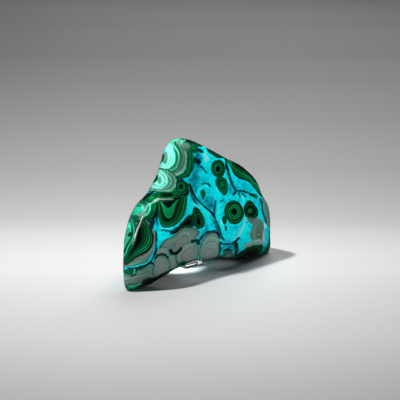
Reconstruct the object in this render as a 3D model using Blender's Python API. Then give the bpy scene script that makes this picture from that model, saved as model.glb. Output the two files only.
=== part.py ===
"""A polished malachite and chrysocolla freeform, standing on two feet over a small clear acrylic prop.

The stone is one solid. Its form is an outline, seen square on, that is carried back through the
stone's thickness and ground down by broad faces, with every edge rounded. Each face is a term of
one field, negative inside the stone, and the surface is where that field is zero. Lengths are in
millimetres in the design functions and in metres in Blender. +X runs along the stone, from the
long foot to the short one, the show face looks along -Y, and +Z is up.
"""

import bmesh
import bpy
import numpy as np

MM = 0.001

# The outline's turning points as (x, z), clockwise from above the long foot.
OUTLINE = (
    (-61, 10),
    (-61, 22),
    (-59.5, 34),
    (-53, 46),
    (-41.5, 54.5),
    (-32.5, 65.5),
    (-28.5, 75),
    (-25.5, 82.5),
    (-17, 88),
    (-7, 86.5),
    (8, 79.5),
    (22, 71.5),
    (36.5, 63),
    (46, 53),
    (50, 43),
    (55.5, 34),
    (59, 24),
    (61, 12),
    (63, 1),
    (55.5, -4.5),
    (40, 1.5),
    (29, 2.5),
    (14, 6.5),
    (-4, 8.5),
    (-20, 6.5),
    (-34, 1.5),
    (-48, -3.5),
    (-58, -1),
)
OUTLINE_CENTRE = (0.0, 44.0)  # the whole outline is in sight from here
OUTLINE_STEPS = 1440

FRONT_Y = -6.0  # the show face at mid height
THICKNESS = 31.0
SLANT = 0.26  # the outline slides this far towards +X for each mm of depth
TAPER = 0.0095  # and its width shrinks by this share for each mm of depth
DEEPEST = 40.0
WALL_LEAN = 0.92  # how steeply the field grows away from the outline

# The ground faces: a point on each, the way it looks, and the radius that rounds its edges.
SHOW_FACE = ((0, FRONT_Y, 44), (0.02, -1, 0.10), 6)
TOWER_FACE = ((-21, -4, 76), (-0.66, -0.74, 0.16), 6)
FLANK_FACE = ((-53, -7, 34), (-0.88, -0.44, 0.27), 4)
APRON_FACE = ((-10, -7.8, 29), (0.10, -1, -0.28), 3)
SHORT_LEG_FACE = ((45, -6.2, 30), (0.16, -1, -0.03), 3)
CHEEK_FACE = ((51.5, -5, 18), (0.48, -0.88, -0.05), 2)
UNDER_FACE = ((0, 0, 2), (0, -1, -0.55), 4)
BACK_FACE = ((0, 26, 20), (0, 1, 0.16), 9)

# The long foot's belly swells out of the show face and the apron: centre x, z, half sizes and turn.
BELLY_CENTRE = (-38.0, 33.0)
BELLY_SPREAD = (17.0, 22.0)
BELLY_TURN = np.radians(-25)
BELLY_HEIGHT = 3.5
# The tower's face stands off below this height, so that the belly keeps its shoulder.
LEDGE_FOOT = 49.0
LEDGE_TOP = 60.0
LEDGE_DEPTH = 12.0
# The apron under the middle of the show face stands off to the right of here.
APRON_EDGE = -6.0
APRON_END = 16.0
APRON_DEPTH = 9.0

# The saw lines of the surface grid along X, Y and Z, and how the surface is found along each ray.
SAW_LINES = (38, 10, 34)
REACH = 1.5
HALVINGS = 34
SNAP = 0.25  # points this near the floor go onto it

# The middle of the finished stone in plan, which becomes the origin.
PLAN_MIDDLE = (1.67, 8.92)

# The clear prop under the arch: its corner points in plan, and its height.
PROP_LOW = (-4.0, 11.0)
PROP_HIGH = (11.0, 21.0)
PROP_HEIGHT = 6.8
PROP_BEVEL = 0.8
PROP_BEVEL_SEGMENTS = 3


def smooth_max(a, b, radius):
    """The greater of a and b, with the corner between them rounded."""
    share = np.clip(0.5 + 0.5 * (a - b) / radius, 0, 1)
    return b + (a - b) * share + radius * share * (1 - share)


def smooth_step(value, low, high):
    """0 below low, 1 above high, and a smooth rise between them."""
    share = np.clip((value - low) / (high - low), 0, 1)
    return share * share * (3 - 2 * share)


def above_plane(points, through, normal):
    """Signed distance from a plane, positive on the side that its normal points to."""
    normal = np.asarray(normal, float)
    return (points - np.asarray(through, float)) @ (normal / np.linalg.norm(normal))


def trace_outline():
    """The outline's radius about its centre, and its length so far, at even steps of angle.

    A closed cubic runs through the turning points in polar form, with the slope at each point
    that of the chord between its neighbours.
    """
    spokes = np.asarray(OUTLINE, float) - OUTLINE_CENTRE
    radii = np.hypot(spokes[:, 0], spokes[:, 1])
    angles = np.arctan2(spokes[:, 1], spokes[:, 0]) % (2 * np.pi)
    order = np.argsort(angles)
    angles, radii = angles[order], radii[order]
    angles = np.concatenate([angles[-2:] - 2 * np.pi, angles, angles[:2] + 2 * np.pi])
    radii = np.concatenate([radii[-2:], radii, radii[:2]])
    slopes = np.zeros_like(radii)
    slopes[1:-1] = (radii[2:] - radii[:-2]) / (angles[2:] - angles[:-2])
    theta = np.linspace(0, 2 * np.pi, OUTLINE_STEPS + 1)
    left = np.searchsorted(angles, theta, side="right") - 1
    width = angles[left + 1] - angles[left]
    share = (theta - angles[left]) / width
    radius = (
        (2 * share**3 - 3 * share**2 + 1) * radii[left]
        + (share**3 - 2 * share**2 + share) * width * slopes[left]
        + (3 * share**2 - 2 * share**3) * radii[left + 1]
        + (share**3 - share**2) * width * slopes[left + 1]
    )
    steps = np.hypot(np.diff(radius * np.cos(theta)), np.diff(radius * np.sin(theta)))
    travelled = np.concatenate([[0], np.cumsum(steps)])
    return theta, radius, travelled


THETA, RADIUS, TRAVELLED = trace_outline()


def outline_wall(points):
    """Distance outside the slanted, tapered wall that carries the outline back."""
    depth = np.clip(points[..., 1], FRONT_Y, DEEPEST)
    across = (points[..., 0] - SLANT * depth) / (1 - TAPER * depth) - OUTLINE_CENTRE[0]
    up = points[..., 2] - OUTLINE_CENTRE[1]
    angle = np.arctan2(up, across) % (2 * np.pi)
    return (np.hypot(across, up) - np.interp(angle, THETA, RADIUS)) * WALL_LEAN


def belly(points):
    """How far the long foot's belly stands out, as a turned bell curve in X and Z."""
    across = points[..., 0] - BELLY_CENTRE[0]
    up = points[..., 2] - BELLY_CENTRE[1]
    along = across * np.cos(BELLY_TURN) + up * np.sin(BELLY_TURN)
    beside = up * np.cos(BELLY_TURN) - across * np.sin(BELLY_TURN)
    return BELLY_HEIGHT * np.exp(-((along / BELLY_SPREAD[0]) ** 2) - (beside / BELLY_SPREAD[1]) ** 2)


def stone_field(points):
    """Negative inside the stone, positive outside, in millimetres near the surface.

    Each ground face takes off what lies in front of its plane, except where its relief stands off.
    """
    swell = belly(points)
    ledge = LEDGE_DEPTH * (1 - smooth_step(points[..., 2], LEDGE_FOOT, LEDGE_TOP))
    apron = swell + APRON_DEPTH * smooth_step(points[..., 0], APRON_EDGE, APRON_END)
    field = outline_wall(points)
    for (through, normal, radius), relief in (
        (SHOW_FACE, swell),
        (TOWER_FACE, ledge),
        (FLANK_FACE, 0),
        (APRON_FACE, apron),
        (SHORT_LEG_FACE, 0),
        (CHEEK_FACE, 0),
        (UNDER_FACE, 0),
        (BACK_FACE, 0),
    ):
        field = smooth_max(field, above_plane(points, through, normal) - relief, radius)
    return field


def square_to_outline(across, up):
    """Carry a square of half width 1 onto the outline, its rim at even steps of the outline's length."""
    ring = np.maximum(np.maximum(np.abs(across), np.abs(up)), 1e-9)
    x, z = across / ring, up / ring
    quarter = np.where(x >= np.abs(z), 0, np.where(z >= np.abs(x), 1, np.where(x <= -np.abs(z), 2, 3)))
    along = np.choose(quarter, [z, -x, -z, x])
    share = ((quarter + 0.5 + along / 2) / 4) % 1
    angle = np.interp(share * TRAVELLED[-1], TRAVELLED, THETA)
    radius = ring * np.interp(angle, THETA, RADIUS)
    return OUTLINE_CENTRE[0] + radius * np.cos(angle), OUTLINE_CENTRE[1] + radius * np.sin(angle)


def onto_stone(corners):
    """Carry points of a cube of half width 1 onto the stone's surface.

    Each point goes to its place in the slanted prism, and then along the ray from the stone's heart
    through that place, by halving, to where the field is zero.
    """
    x, z = square_to_outline(corners[:, 0], corners[:, 2])
    y = FRONT_Y + THICKNESS * (1 + corners[:, 1]) / 2
    heart_y = FRONT_Y + THICKNESS / 2
    heart = np.array([SLANT * heart_y, heart_y, OUTLINE_CENTRE[1]])
    target = np.column_stack([x * (1 - TAPER * y) + SLANT * y, y, z])
    ray = (target - heart) * REACH
    low = np.zeros(len(ray))
    high = np.ones(len(ray))
    for _ in range(HALVINGS):
        middle = (low + high) / 2
        inside = stone_field(heart + ray * middle[:, None]) < 0
        low = np.where(inside, middle, low)
        high = np.where(inside, high, middle)
    return heart + ray * ((low + high) / 2)[:, None]


def saw(mesh, axis, count):
    """Score the cube into count even slabs across one axis."""
    normal = [0, 0, 0]
    normal[axis] = 1
    for line in range(1, count):
        place = [0, 0, 0]
        place[axis] = 2 * line / count - 1
        everything = mesh.verts[:] + mesh.edges[:] + mesh.faces[:]
        bmesh.ops.bisect_plane(mesh, geom=everything, dist=1e-6, plane_co=place, plane_no=normal)


def cut_feet_flat(mesh):
    """Cut away what lies under the floor and close the two cuts, which are the feet's flats."""
    everything = mesh.verts[:] + mesh.edges[:] + mesh.faces[:]
    bmesh.ops.bisect_plane(
        mesh,
        geom=everything,
        dist=SNAP * MM,
        plane_co=(0, 0, 0),
        plane_no=(0, 0, 1),
        use_snap_center=True,
        clear_inner=True,
    )
    rims = [edge for edge in mesh.edges if edge.is_boundary]
    flats = bmesh.ops.holes_fill(mesh, edges=rims, sides=0)["faces"]
    bmesh.ops.triangulate(mesh, faces=flats)


def add_object(name, mesh, material):
    """Put a finished mesh into the scene as one named object."""
    bmesh.ops.recalc_face_normals(mesh, faces=mesh.faces[:])
    data = bpy.data.meshes.new(name)
    mesh.to_mesh(data)
    mesh.free()
    data.materials.append(material)
    part = bpy.data.objects.new(name, data)
    bpy.context.collection.objects.link(part)
    return part


def plain_material(name, colour, roughness):
    """A Principled material of one colour."""
    material = bpy.data.materials.new(name)
    material.use_nodes = True
    shader = material.node_tree.nodes["Principled BSDF"]
    shader.inputs["Base Color"].default_value = (*colour, 1)
    shader.inputs["Roughness"].default_value = roughness
    shader.inputs["Metallic"].default_value = 0
    return material, shader


def build_stone():
    mesh = bmesh.new()
    bmesh.ops.create_cube(mesh, size=2)
    for axis, count in enumerate(SAW_LINES):
        saw(mesh, axis, count)
    surface = onto_stone(np.array([vertex.co[:] for vertex in mesh.verts], float))
    surface[:, :2] -= PLAN_MIDDLE
    for vertex, place in zip(mesh.verts, surface * MM):
        vertex.co = place
    cut_feet_flat(mesh)
    material, _ = plain_material("polished_stone", colour=(0.02, 0.30, 0.24), roughness=0.08)
    part = add_object("stone", mesh, material)
    part.data.shade_smooth()
    part.data.set_sharp_from_angle(angle=np.radians(40))


def build_prop():
    mesh = bmesh.new()
    bmesh.ops.create_cube(mesh, size=1)
    size = [PROP_HIGH[0] - PROP_LOW[0], PROP_HIGH[1] - PROP_LOW[1], PROP_HEIGHT]
    centre = [(PROP_LOW[axis] + PROP_HIGH[axis]) / 2 - PLAN_MIDDLE[axis] for axis in range(2)]
    bmesh.ops.scale(mesh, vec=[length * MM for length in size], verts=mesh.verts)
    bmesh.ops.translate(mesh, vec=[centre[0] * MM, centre[1] * MM, PROP_HEIGHT * MM / 2], verts=mesh.verts)
    bmesh.ops.bevel(
        mesh,
        geom=mesh.edges[:],
        offset=PROP_BEVEL * MM,
        segments=PROP_BEVEL_SEGMENTS,
        affect="EDGES",
        profile=0.5,
    )
    material, shader = plain_material("clear_acrylic", colour=(1, 1, 1), roughness=0.03)
    shader.inputs["Transmission Weight"].default_value = 1
    shader.inputs["IOR"].default_value = 1.49
    add_object("clear_prop", mesh, material)


def main():
    for leftover in list(bpy.data.objects):
        bpy.data.objects.remove(leftover, do_unlink=True)
    build_stone()
    build_prop()


main()
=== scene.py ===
"""Dress the malachite and chrysocolla freeform: its polished stone, its clear prop and the studio.

The stone's form is a field worked out with numpy, negative inside the stone, and its surface is
where the field is zero. Its markings are nodules that grew in layers round their hearts. Each one is
a growth value, 0 at the heart and 1 at the rim, kept on the mesh as attributes, which the stone's
material turns into bands. Some grey bands and drawn lines are painted reflections and highlights.
Lengths are in millimetres in the design functions and in metres in Blender. +X runs from the long
foot to the short one, the show face looks along -Y, and +Z is up.
"""

from dataclasses import dataclass

import bpy
import numpy as np
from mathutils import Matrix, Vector


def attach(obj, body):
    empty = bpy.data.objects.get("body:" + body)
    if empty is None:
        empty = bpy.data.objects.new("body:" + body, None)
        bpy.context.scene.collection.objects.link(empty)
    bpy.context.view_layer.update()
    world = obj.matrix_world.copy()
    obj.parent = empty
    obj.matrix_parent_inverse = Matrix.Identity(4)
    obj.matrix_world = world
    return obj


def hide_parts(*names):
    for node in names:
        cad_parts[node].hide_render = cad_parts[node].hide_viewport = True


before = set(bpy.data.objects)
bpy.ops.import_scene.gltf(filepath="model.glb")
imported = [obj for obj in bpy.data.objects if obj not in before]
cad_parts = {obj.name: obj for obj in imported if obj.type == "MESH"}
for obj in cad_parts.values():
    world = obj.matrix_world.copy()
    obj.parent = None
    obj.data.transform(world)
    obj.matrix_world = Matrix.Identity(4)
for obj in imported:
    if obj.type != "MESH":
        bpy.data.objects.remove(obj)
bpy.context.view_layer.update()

bl_info = {
    "name": "Malachite and Chrysocolla Freeform",
    "version": (1, 0, 0),
    "blender": (4, 5, 0),
    "location": "View3D > Sidebar > Freeform",
    "description": "A polished two-footed stone of banded malachite and chrysocolla over a clear prop",
    "category": "Object",
}

MM = 0.001

# ---------------------------------------------------------------------------------------------
# The stone's form, in millimetres
# ---------------------------------------------------------------------------------------------

# The outline's turning points as (x, z), clockwise from above the long foot.
OUTLINE = (
    (-61, 10), (-61, 22), (-59.5, 34), (-53, 46), (-41.5, 54.5), (-32.5, 65.5), (-28.5, 75),
    (-25.5, 82.5), (-17, 88), (-7, 86.5), (8, 79.5), (22, 71.5), (36.5, 63), (46, 53), (50, 43),
    (55.5, 34), (59, 24), (61, 12), (63, 1), (55.5, -4.5), (40, 1.5), (29, 2.5), (14, 6.5),
    (-4, 8.5), (-20, 6.5), (-34, 1.5), (-48, -3.5), (-58, -1),
)
OUTLINE_CENTRE = (0.0, 44.0)
OUTLINE_STEPS = 1440

FRONT_Y = -6.0
THICKNESS = 31.0
SLANT = 0.26  # the outline slides this far towards +X for each mm of depth
TAPER = 0.0095  # and its width shrinks by this share for each mm of depth
DEEPEST = 40.0  # neither goes on deeper than this
WALL_LEAN = 0.92  # the wall leans, so it is this much nearer than the outline at the same depth

# The ground faces: a point on each, the way it looks, and the radius that rounds its edges.
SHOW_FACE = ((0, FRONT_Y, 44), (0.02, -1, 0.10), 6)
TOWER_FACE = ((-21, -4, 76), (-0.66, -0.74, 0.16), 6)
FLANK_FACE = ((-53, -7, 34), (-0.88, -0.44, 0.27), 4)
APRON_FACE = ((-10, -7.8, 29), (0.10, -1, -0.28), 3)
SHORT_LEG_FACE = ((45, -6.2, 30), (0.16, -1, -0.03), 3)
CHEEK_FACE = ((51.5, -5, 18), (0.48, -0.88, -0.05), 2)
UNDER_FACE = ((0, 0, 2), (0, -1, -0.55), 4)
BACK_FACE = ((0, 26, 20), (0, 1, 0.16), 9)
FOOT_FACE = ((0, 0, 0), (0, 0, -1), 0.7)

# The long foot's belly: its middle as (x, z), its reach along and across, its lean, and its height.
BELLY_CENTRE = (-38.0, 33.0)
BELLY_SPREAD = (17.0, 22.0)
BELLY_TURN = np.radians(-25)
BELLY_HEIGHT = 3.5
# The tower's face ends at a ledge: under it, the face stands this far off the stone.
LEDGE_FOOT = 49.0
LEDGE_TOP = 60.0
LEDGE_DEPTH = 12.0
# The apron's face ends in the middle of the arch: past it, the face stands this far off as well.
APRON_EDGE = -6.0
APRON_END = 16.0
APRON_DEPTH = 9.0

# The middle of the finished stone in plan, which is the frame's origin.
PLAN_MIDDLE = (1.67, 8.92)

# The surface grid's steps along X, Y and Z, and how the surface is found along each ray.
GRID_STEPS = (216, 40, 150)
REACH = 1.5  # a ray's length, over the way from the heart to the grid's place in the prism
HALVINGS = 30
NEARLY_NONE = 1e-9  # the least radius, so that the middle divides too
NUDGE = 0.05  # how far to either side of a point the field's slope is taken

# ---------------------------------------------------------------------------------------------
# The markings' drawing sheet, which faces the camera through the middle of the stone
# ---------------------------------------------------------------------------------------------

AIM = (-0.99, -7.61, 47.6)  # in the frame, millimetres
SHEET_AZIMUTH = np.radians(-39.2)
SHEET_ELEVATION = np.radians(16)
SHEET_DISTANCE = 800.0

# The closed lines are kept as radii at these angles, with so many steps between two drawn points.
TURNS = np.linspace(-np.pi, np.pi, 720, endpoint=False)
CURVE_STEPS = 16
OVAL_POINTS = 12
THINNEST = 0.12  # the least gap between a nodule's closed lines
EASE = 0.16  # what a drawn line is widened by, since the grid's steps cut its middle short
LARGEST = 12.0  # the greatest size that a nodule's layers are spaced by


@dataclass
class Nodule:
    """One nodule on the drawing sheet: the coat it lies in, its heart, and the closed lines of equal
    growth round it, from the heart out, as (growth, points). The last line is its rim, at growth 1."""

    kind: str
    coat: int
    heart: tuple
    lines: tuple


def oval(middle, half_across, half_up, lean=0):
    """Points round an oval that leans to the left by an angle in degrees."""
    turns = np.linspace(0, 2 * np.pi, OVAL_POINTS, endpoint=False)
    across, up = half_across * np.cos(turns), half_up * np.sin(turns)
    cos_l, sin_l = np.cos(np.radians(lean)), np.sin(np.radians(lean))
    leant = np.column_stack([across * cos_l - up * sin_l, across * sin_l + up * cos_l])
    return np.array(middle) + leant


def plain(kind, coat, heart, rim):
    """A nodule with no closed line but its rim."""
    return Nodule(kind, coat, heart, ((1.0, rim),))


# Nodules of one coat meet without overlapping, and each coat lies over the ones before it.
COATS = 4
NODULES = (
    # The tower: two pale halves, the grey cap and green crown, and the small banded eye. The halves' pale
    # mint and grey bands are partly their own colour and partly a painted reflection of the soft light on
    # the left.
    Nodule("upper", 1, (-21.8, 27), (
        (0.20, ((-20.2, 27), (-20.4, 29.2), (-21.2, 30.6), (-22.4, 30.4), (-23.6, 27), (-23.2, 23.6),
            (-22.2, 22.8), (-20.8, 24.4))),
        (0.50, ((-15.3, 27.4), (-15.6, 30.6), (-16.4, 33.6), (-18.2, 36.4), (-22, 39), (-27, 36), (-29, 28),
            (-28, 21), (-24.8, 19.5), (-21.2, 19.8), (-18.6, 20.6), (-16.6, 22.2), (-15.5, 24.6))),
        (0.62, ((-13.2, 27), (-13.4, 29.4), (-14.4, 31.8), (-16, 33.8), (-17.6, 36.8), (-20, 40), (-30, 38),
            (-32, 28), (-29, 19), (-24.4, 18.6), (-20, 18.4), (-17, 19), (-14.8, 20.8), (-13.5, 23.6))),
        (0.80, ((-8.9, 27), (-9, 30.2), (-9.6, 33), (-11, 36.6), (-14, 40), (-22, 43), (-34, 38), (-36, 26),
            (-31, 17), (-24, 16.6), (-18.4, 15.4), (-14.4, 15.6), (-11.7, 17), (-9.9, 19.8), (-9.1, 23.2))),
        (1.00, ((-3.5, 25), (-3.9, 28), (-5.4, 31), (-7.6, 34), (-9.4, 37.6), (-13, 42), (-24, 46),
            (-38, 40), (-40, 26), (-33, 15), (-22, 14), (-15.5, 13.6), (-10.6, 13.9), (-8.2, 14.3),
            (-6, 15.6), (-4.5, 18), (-3.7, 21.4))),
    )),
    Nodule("lower", 2, (-25.7, 12.7), (
        (0.16, ((-24.7, 12.8), (-25, 14.2), (-25.8, 14.9), (-26.5, 14), (-26.7, 12.4), (-26.4, 11),
            (-25.6, 10.5), (-24.9, 11.4))),
        (0.50, ((-20.2, 11.8), (-20.6, 14), (-21.8, 16.4), (-23.3, 18.1), (-24.8, 19), (-28, 20), (-33, 14),
            (-31.4, 8), (-28, 6.8), (-25.2, 6.7), (-23.2, 7.5), (-21.4, 8.8), (-20.5, 10.2))),
        (0.82, ((-14.7, 10), (-15, 12.4), (-15.7, 14.6), (-17.2, 16.2), (-19.4, 17.8), (-22, 18.9),
            (-25.2, 19.8), (-30, 21), (-36, 13), (-33, 6.8), (-28, 5.7), (-24.4, 5.4), (-21, 5.8),
            (-18, 6.6), (-15.8, 8))),
        (1.00, ((-13.2, 9.8), (-13.8, 12.6), (-14.6, 14.6), (-16.4, 16.9), (-19.2, 18.6), (-22, 19.5),
            (-25.2, 20.2), (-30, 22), (-38, 12), (-34, 5.8), (-28, 4.9), (-24.4, 4.5), (-20.8, 4.5),
            (-17, 5.2), (-14.4, 7.2))),
    )),
    plain("cap", 3, (-9.4, 33.6), ((-6, 33.2), (-6.6, 35), (-9, 36.4), (-11.6, 35.6), (-12.8, 33.6),
        (-11.6, 31.6), (-9.4, 30.8), (-7.2, 31.6))),
    plain("moss", 2, (-3.6, 32.4), ((-0.6, 32.2), (-1.8, 34.2), (-4.4, 35.2), (-6.6, 34), (-6.8, 31.6),
        (-5.2, 29.6), (-2.6, 29.4), (-1, 30.4))),
    plain("nest", 0, (-8, 39.5), ((2, 34), (0, 38), (-8, 44), (-20, 42), (-22, 38.4), (-17, 35.8),
        (-13, 34), (-8, 34), (-2, 33.4))),
    plain("moss", 3, (-24, 26), oval((-24, 26), 1.1, 3.2, -14)),
    plain("moss", 3, (-28.3, 13.2), oval((-28.3, 13.2), 1.2, 3, -28)),
    Nodule("eye", 3, (-12, 8.2), (
        (0.30, ((-10.8, 8.2), (-11.2, 9.6), (-12.4, 10), (-13.2, 8.8), (-13, 7.2), (-11.8, 6.6))),
        (0.62, ((-9.6, 8), (-10.1, 10.2), (-12, 11.4), (-14, 10.2), (-14.2, 7.6), (-13, 5.6), (-11, 5.4),
            (-9.8, 6.4))),
        (1.00, ((-7.2, 7.6), (-7.8, 10.4), (-9.6, 12.4), (-12, 13.4), (-14.2, 13.2), (-15, 10.4),
            (-15.2, 7), (-14.6, 4.6), (-12.6, 3), (-9.8, 2), (-7.6, 2.2), (-6.7, 4.6))),
    )),
    # Under the tower: the dark nest, the green neck, and the nodule with a forked heart.
    plain("nest", 3, (-19.6, 3.4), ((-14.8, 3.8), (-16, 5), (-19, 5.3), (-23, 5), (-26.6, 5.5), (-28.6, 4),
        (-28, 1.8), (-24, 1.1), (-20, 1), (-16.4, 1.4))),
    plain("moss", 1, (-30.4, 1.6), ((-26, 1.8), (-27, 4.6), (-29.4, 4.6), (-33.6, 3.6), (-37.4, 0.6),
        (-38, -1.8), (-34, -2), (-30, -0.8), (-27, 0.2))),
    Nodule("fork", 1, (-20, -8), (
        (0.20, ((-16.5, -8), (-15.6, -5), (-14.4, -1.2), (-13.5, 1.6), (-15.6, -0.6), (-17.2, -3),
            (-18.6, -4.7), (-20.2, -5.2), (-21.8, -4.2), (-23.4, -1.8), (-25, 0.4), (-24.4, -3),
            (-23.5, -6), (-22.8, -8.6), (-21.6, -10.8), (-20, -11.7), (-18.2, -10.6))),
        (0.55, ((-13.6, -8), (-12.4, -4), (-11.8, 0), (-12.2, 3.4), (-17, 3.6), (-22, 2.6), (-25.3, 1.4),
            (-25.4, -4), (-25, -9), (-23.9, -12.4), (-22.2, -14.2), (-20, -14.6), (-17.4, -13.8),
            (-15.2, -11.4))),
        (0.85, ((-10.4, -7), (-9.6, -3), (-9.5, 1), (-10.6, 4.6), (-17, 5), (-23, 4), (-26, 2.4),
            (-26.2, -4), (-25.8, -10), (-24.7, -14), (-22.7, -16), (-20.4, -16.4), (-17, -15.8),
            (-14, -13.6), (-11.9, -10.6))),
        (1.00, ((-9.2, -8), (-8.3, -4), (-8, 0), (-8.6, 4.4), (-12, 6), (-17, 6), (-23, 5), (-26.8, 3.4),
            (-26.9, -4), (-26.3, -9), (-25.7, -12.6), (-24.9, -15.4), (-23, -17.1), (-20.4, -17.6),
            (-17.4, -17.1), (-14.4, -15.4), (-12, -12.9), (-10.3, -10.6))),
    )),
    # The long leg: its shoulder, the dark leg with its grey hem, and the flank. The hem's grey is partly a
    # painted reflection of the table.
    Nodule("shoulder", 2, (-38.8, -6), (
        (0.50, ((-35.2, -4.6), (-35.8, -2.6), (-38, -2.6), (-41, -4.6), (-43.4, -9), (-41, -9.8),
            (-38.4, -8.2), (-36, -6.8))),
        (0.70, ((-31.3, -3.8), (-31.9, -2), (-34.5, -0.8), (-37.5, -1), (-42, -4), (-45, -9),
            (-44.4, -12.4), (-40.4, -12.8), (-37.6, -11.6), (-35.2, -10.3), (-33.1, -8.4), (-31.8, -6))),
        (1.00, ((-25.9, -4), (-27, -1.4), (-30, -0.9), (-34, -0.1), (-38.4, 0.2), (-43, -3), (-47, -9),
            (-46, -13.4), (-41, -14.2), (-37.4, -13.4), (-33.8, -12.6), (-30, -11.6), (-27.2, -9.4))),
    )),
    Nodule("leg", 1, (-37.4, -21.5), (
        (0.12, ((-36.5, -21), (-36.8, -18), (-37.8, -16.2), (-39, -18), (-39.8, -23), (-41, -28),
            (-43.4, -33), (-43.8, -35), (-41.2, -31), (-38.9, -28), (-37.2, -25))),
        (0.42, ((-33.3, -21.5), (-34, -17.8), (-36.2, -14.6), (-38.6, -14.8), (-40.5, -21), (-42.2, -28),
            (-44.6, -34), (-45.8, -38.4), (-42.2, -33.8), (-38.6, -30.4), (-35.6, -28.2), (-33.8, -25.2))),
        (0.75, ((-29.6, -22), (-30.8, -18.6), (-32.8, -15.6), (-35, -13), (-38.2, -12.6), (-40, -16),
            (-41.6, -22), (-43.2, -28.5), (-45.8, -34), (-47.4, -39.8), (-45.4, -40.4), (-41.4, -36.9),
            (-37.2, -34.4), (-33.2, -32.2), (-30.6, -29.6), (-29.3, -26))),
        (1.00, ((-28.4, -22), (-29.8, -18), (-31.8, -14.8), (-34.6, -12), (-38.6, -11.6), (-41, -16),
            (-43, -22), (-45, -28.5), (-48.6, -34), (-51, -40), (-50, -43.4), (-45.2, -42.4),
            (-40.2, -41.3), (-36.6, -40.4), (-33.6, -39.2), (-31.8, -37.2), (-30.2, -34), (-28.8, -29.6),
            (-28.2, -26))),
    )),
    Nodule("flank", 3, (-45.2, -22.5), (
        (0.35, ((-43.8, -20.4), (-43.3, -16), (-44.2, -13.2), (-46.4, -15), (-48.6, -22), (-49.8, -28),
            (-50.6, -34), (-48.6, -32.4), (-46.4, -28.4), (-44.4, -24.4))),
        (0.72, ((-41.9, -20), (-41.8, -16.8), (-43.2, -12.8), (-46, -11.6), (-50, -18), (-51, -28),
            (-52, -38), (-48.4, -36), (-45.8, -31.2), (-43.6, -26.8), (-42.3, -23.2))),
        (1.00, ((-40.4, -19), (-40.2, -15.2), (-41.6, -11.8), (-45.6, -9.8), (-52, -16), (-53, -28),
            (-54, -40), (-48.2, -39.4), (-45.6, -34.4), (-43.6, -29.8), (-41.8, -25))),
    )),
    # The apron's grey lobes and the layered foot. Their grey is partly their own and partly a painted
    # reflection of the table, and a painted highlight runs along the foot's bottom rim.
    Nodule("lobe", 1, (-11.6, -26.4), (
        (0.35, ((-8.2, -24.4), (-9.4, -23), (-12, -24.2), (-14.4, -26.4), (-15.6, -28.6), (-14.6, -30.6),
            (-12.4, -30.4), (-9.6, -27.6))),
        (0.62, ((-6.2, -23.4), (-7.6, -21), (-10.6, -20.8), (-13.8, -22.9), (-16.8, -25.3), (-19.4, -27.6),
            (-20.4, -31), (-14.6, -32.4), (-10.4, -30), (-7, -27))),
        (1.00, ((-3.4, -25), (-0.6, -21.4), (-0.9, -18.9), (-5.6, -16.9), (-10, -17.5), (-13.6, -19.6),
            (-17, -22.9), (-20.6, -24.3), (-23.2, -25.7), (-24.9, -28), (-25.6, -31), (-20, -34),
            (-14, -34), (-10.2, -31.6), (-6.4, -28.2))),
    )),
    Nodule("hem", 2, (-6.8, -33.6), (
        (0.40, ((-2.8, -34), (-2.6, -31), (-3.6, -29.4), (-6.2, -28.8), (-9.4, -30), (-11.4, -32.8),
            (-12.4, -36), (-9, -39.6), (-4, -39))),
        (1.00, ((-0.9, -35.6), (-0.5, -32), (-0.9, -29), (-2.6, -27.2), (-6, -26.7), (-9.6, -27.9),
            (-12.4, -30.6), (-14.4, -33.4), (-15.6, -36), (-14, -41), (-9, -42), (-3, -41))),
    )),
    Nodule("hem", 1, (6.8, -33.4), (
        (0.30, ((8.8, -33.6), (8.6, -31.2), (7.2, -30.2), (4.8, -31.6), (2.8, -34.2), (3, -39),
            (8.6, -39))),
        (0.56, ((10.1, -32), (10, -28.8), (8.4, -27.2), (6, -27.7), (3.2, -30), (1.2, -33), (1.4, -38),
            (9.8, -38))),
        (1.00, ((12.3, -31), (12.4, -27), (11.8, -23.4), (10.4, -20.6), (8, -20), (5.3, -20.9),
            (2.8, -23.2), (0.9, -27), (0.1, -30.4), (-0.3, -35), (1, -41), (11.6, -41), (12, -35))),
    )),
    Nodule("hem", 2, (-24, -42.6), (
        (0.34, ((-22, -42.6), (-22.2, -40.6), (-23, -39.2), (-24.4, -38.9), (-25.8, -40.2), (-26.4, -43),
            (-26, -49), (-22.4, -48))),
        (0.60, ((-20.9, -42.6), (-21.1, -39.8), (-22.3, -38.2), (-24.2, -37.6), (-26, -38.6), (-27.1, -41),
            (-27.6, -44), (-26, -48.6), (-21.8, -47.4))),
        (1.00, ((-18.8, -42), (-19.2, -37.6), (-20.8, -35.2), (-24, -34.3), (-27, -35.4), (-28.8, -37.6),
            (-29.4, -41), (-29.8, -46), (-27.4, -51), (-20, -50))),
    )),
    plain("hem", 3, (-23.2, -32.2), ((-18.6, -34.2), (-19.4, -31.4), (-22, -30.1), (-25, -30.3),
        (-27.2, -32), (-28.4, -34.2), (-27, -34.8), (-24, -33.8), (-21, -34.4))),
    plain("hem", 1, (-16.8, -38.6), ((-12, -38), (-13.4, -34.4), (-16, -34), (-19, -34.6), (-21, -37),
        (-20, -46), (-14, -44))),
    plain("moss", 3, (-7, -39.6), ((3.4, -37.2), (-1, -37), (-6, -38.2), (-11, -38.6), (-13.6, -40),
        (-14, -44), (3, -41))),
    Nodule("foot", 0, (-38, -66), (
        (0.30, ((-26, -58), (-30, -54.6), (-36, -53.6), (-41, -54.6), (-46, -56), (-54, -60), (-38, -70))),
        (1.00, ((-16, -60), (-22, -48), (-27, -44), (-29.8, -39.2), (-31.4, -38.9), (-33.4, -41),
            (-36.4, -42.2), (-40.2, -43), (-45.2, -44), (-50, -45), (-60, -60), (-38, -74))),
    )),
    plain("nest", 3, (-30.5, -51), ((-41.5, -56.8), (-39, -53.8), (-36.8, -51.2), (-34, -49.4),
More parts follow.
